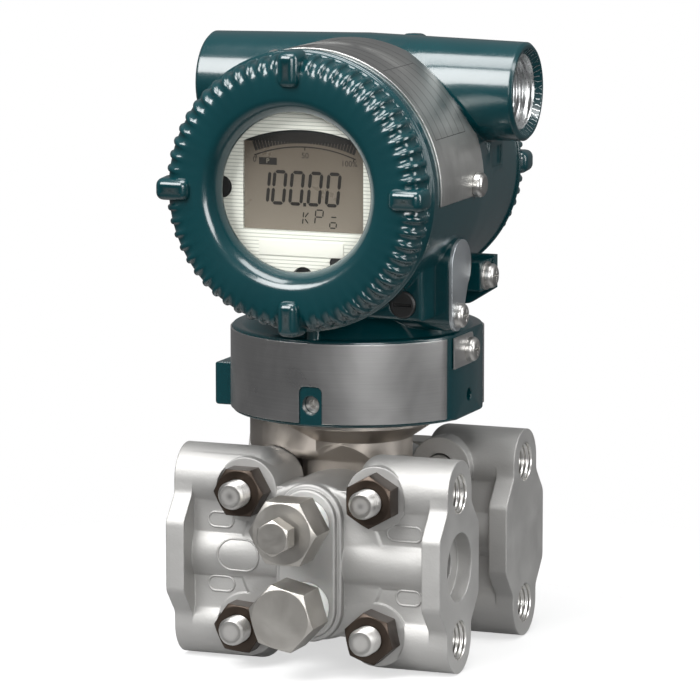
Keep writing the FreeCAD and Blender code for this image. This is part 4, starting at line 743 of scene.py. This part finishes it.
# ---- button, display case and boards: black moulded plastic, green laminate, brass spacers --------------
black_plastic, tree, principled = material("black_moulding", (0.012, 0.012, 0.012), 0.0, 0.42)
skin = use(tree, blasted, Pit_Scale=2200.0)
tree.links.new(spread(tree, skin["Mottle"], 0.3, 0.7, 0.36, 0.52), principled.inputs["Roughness"])
relief(tree, principled, skin["Height"], 0.12, 0.00005, 0.0003)
for node in ("range_button", "display_case", "display_screws", "terminal_block", "zero_screw"):
    finished(node, black_plastic, slot="black_plastic")
laminate, tree, principled = material("board_laminate", (0.02, 0.12, 0.05), 0.0, 0.35)
skin = use(tree, blasted, Pit_Scale=1200.0)
tree.links.new(tinted(tree, skin["Mottle"], (0.015, 0.1, 0.04), (0.03, 0.15, 0.07)),
               principled.inputs["Base Color"])
finished("main_board", laminate, slot="board")
spacer_brass, tree, principled = material("spacer_brass", (0.72, 0.54, 0.25), 1.0, 0.28)
marks = use(tree, drawn, Stretch=(90.0, 2600.0, 90.0))
tree.links.new(spread(tree, marks["Lines"], 0.3, 0.7, 0.2, 0.36), principled.inputs["Roughness"])
relief(tree, principled, marks["Lines"], 0.1, 0.00004)
finished("display_spacers", spacer_brass, slot="spacer_brass")

# ---- nameplate: a thin brushed sheet bent round the barrel, engraved with ruled lines and left bare ------
plate_steel, tree, principled = material("brushed_nameplate", (0.5, 0.5, 0.485), 1.0, 0.32, Anisotropic=0.5)
marks = use(tree, drawn, Stretch=(40.0, 2400.0, 40.0))
smears = use(tree, handled, Smear_Scale=40.0)
tree.links.new(spread(tree, smears["Smear"], 0.3, 0.7, 0.27, 0.4), principled.inputs["Roughness"])
tree.links.new(tinted(tree, marks["Lines"], (0.42, 0.42, 0.4), (0.56, 0.56, 0.545)),
               principled.inputs["Base Color"])
relief(tree, principled, marks["Lines"], 0.2, 0.00004, 0.0003)
finished("nameplate", plate_steel, slot="sheet_steel")
engraved, tree, principled = material("engraved_ink", (0.03, 0.03, 0.03), 0.0, 0.5)
smears = use(tree, handled, Smear_Scale=90.0)
tree.links.new(spread(tree, smears["Smear"], 0.3, 0.7, 0.42, 0.6), principled.inputs["Roughness"])
barrel_skin = 38.3 + 0.03 + 0.5 + 0.02


def ruled(name, start, end, front, back, around=40):
    """A strip on the barrel between two angles from +X and two stations along Y, in degrees and mm."""
    angle = np.radians(np.linspace(start, end, around))[:, None]
    station = np.array([front, back])[None, :]
    points = np.stack([barrel_skin * np.cos(angle) + 0 * station, station + 0 * angle,
                       housing_axis + barrel_skin * np.sin(angle) + 0 * station], -1) * MM
    return dressed(lattice(name, points[::-1]), "housing", engraved, "sheet_steel")


for k, station in enumerate((-33.2, -28.6, -24.0, -19.4, -14.8, -10.2)):
    ruled("plate_rule_%d" % (k + 1), 22, 122, station - 0.1, station + 0.1)
for k, angle in enumerate((22.0, 58.0, 92.0, 122.0)):
    ruled("plate_cross_%d" % (k + 1), angle - 0.14, angle + 0.14, -33.2, -10.2, around=3)
ruled("plate_dark_field", 93, 121.5, -32.6, -24.6)

# ---- zero guard: a teardrop of light grey sheet steel that swings on its screw ---------------------------
guard_steel, tree, principled = material("guard_sheet", (0.5, 0.53, 0.55), 1.0, 0.4)
skin = use(tree, blasted, Pit_Scale=1600.0)
tree.links.new(spread(tree, skin["Mottle"], 0.3, 0.7, 0.34, 0.48), principled.inputs["Roughness"])
relief(tree, principled, skin["Height"], 0.1, 0.00008, 0.0003)
finished("zero_guard_plate", guard_steel, slot="sheet_steel")

# ---- studio: pale floor that fades out, a white surround seen only by the camera, and soft boxes ---------
floor = lattice("floor", np.stack(np.meshgrid(np.linspace(-0.6, 0.6, 3), np.linspace(-0.6, 0.6, 3), [-0.0003],
                                              indexing="ij"), -1)[:, :, 0])
paper, tree, principled = material("paper_floor", (0.93, 0.93, 0.93), 0.0, 0.6)
place = node_tree(tree, "ShaderNodeTexCoord").outputs["Object"]
far = node_tree(tree, "ShaderNodeVectorMath", operation="LENGTH")
tree.links.new(place, far.inputs[0])
tree.links.new(spread(tree, far.outputs["Value"], 0.05, 0.2, 0.4, 0.0), principled.inputs["Alpha"])
floor.data.materials.append(paper)

world = bpy.data.worlds.new("studio")
bpy.context.scene.world = world
world.use_nodes = True
tree = world.node_tree
tree.nodes.clear()
way = node_tree(tree, "ShaderNodeTexCoord").outputs["Generated"]
lift = node_tree(tree, "ShaderNodeSeparateXYZ", Vector=way).outputs["Z"]
grey = tinted(tree, spread(tree, lift, -0.4, 0.8, 0.0, 1.0), (0.16, 0.16, 0.165), (0.5, 0.51, 0.52))
seen = node_tree(tree, "ShaderNodeBackground", Color=(1, 1, 1, 1), Strength=1.0)
lighting = node_tree(tree, "ShaderNodeBackground", Color=grey, Strength=0.55)
chosen = tree.nodes.new("ShaderNodeMixShader")
tree.links.new(node_tree(tree, "ShaderNodeLightPath").outputs["Is Camera Ray"], chosen.inputs[0])
tree.links.new(lighting.outputs[0], chosen.inputs[1])
tree.links.new(seen.outputs[0], chosen.inputs[2])
tree.links.new(chosen.outputs[0], node_tree(tree, "ShaderNodeOutputWorld").inputs["Surface"])

target = (-0.00234, 0.0, 0.08454)


def soft_box(name, azimuth, elevation, distance, width, height, power):
    """A rectangular soft light aimed at the object from an azimuth clockwise of -Y, seen from above."""
    data = bpy.data.lights.new(name, "AREA")
    data.shape = "RECTANGLE"
    data.size, data.size_y = width, height
    data.energy = power
    light = bpy.data.objects.new(name, data)
    a, e = math.radians(azimuth), math.radians(elevation)
    offset = np.array((math.sin(a) * math.cos(e), -math.cos(a) * math.cos(e), math.sin(e))) * distance
    light.location = np.array(target) + offset
    light.rotation_euler = (math.pi / 2 - e, 0, a)
    bpy.context.scene.collection.objects.link(light)
    return light


lights = [soft_box("key", -25, 38, 0.9, 0.5, 0.5, 11.0), soft_box("overhead", 10, 78, 0.8, 0.6, 0.4, 8.0),
          soft_box("side", 95, 20, 0.9, 0.25, 0.7, 5.0), soft_box("low_front", 32, 12, 1.1, 0.5, 0.4, 7.0)]

camera_data = bpy.data.cameras.new("camera")
camera_data.lens = 253.7
camera_data.sensor_width = 36.0
camera = bpy.data.objects.new("camera", camera_data)
camera.location = (0.5068, -1.2852, 0.3059)
aim = np.array(target) - np.array(camera.location)
camera.rotation_euler = (math.acos(-aim[2] / np.linalg.norm(aim)), 0, math.atan2(-aim[0], aim[1]))
bpy.context.scene.collection.objects.link(camera)
bpy.context.scene.camera = camera
bpy.context.scene.view_settings.view_transform = "Standard"
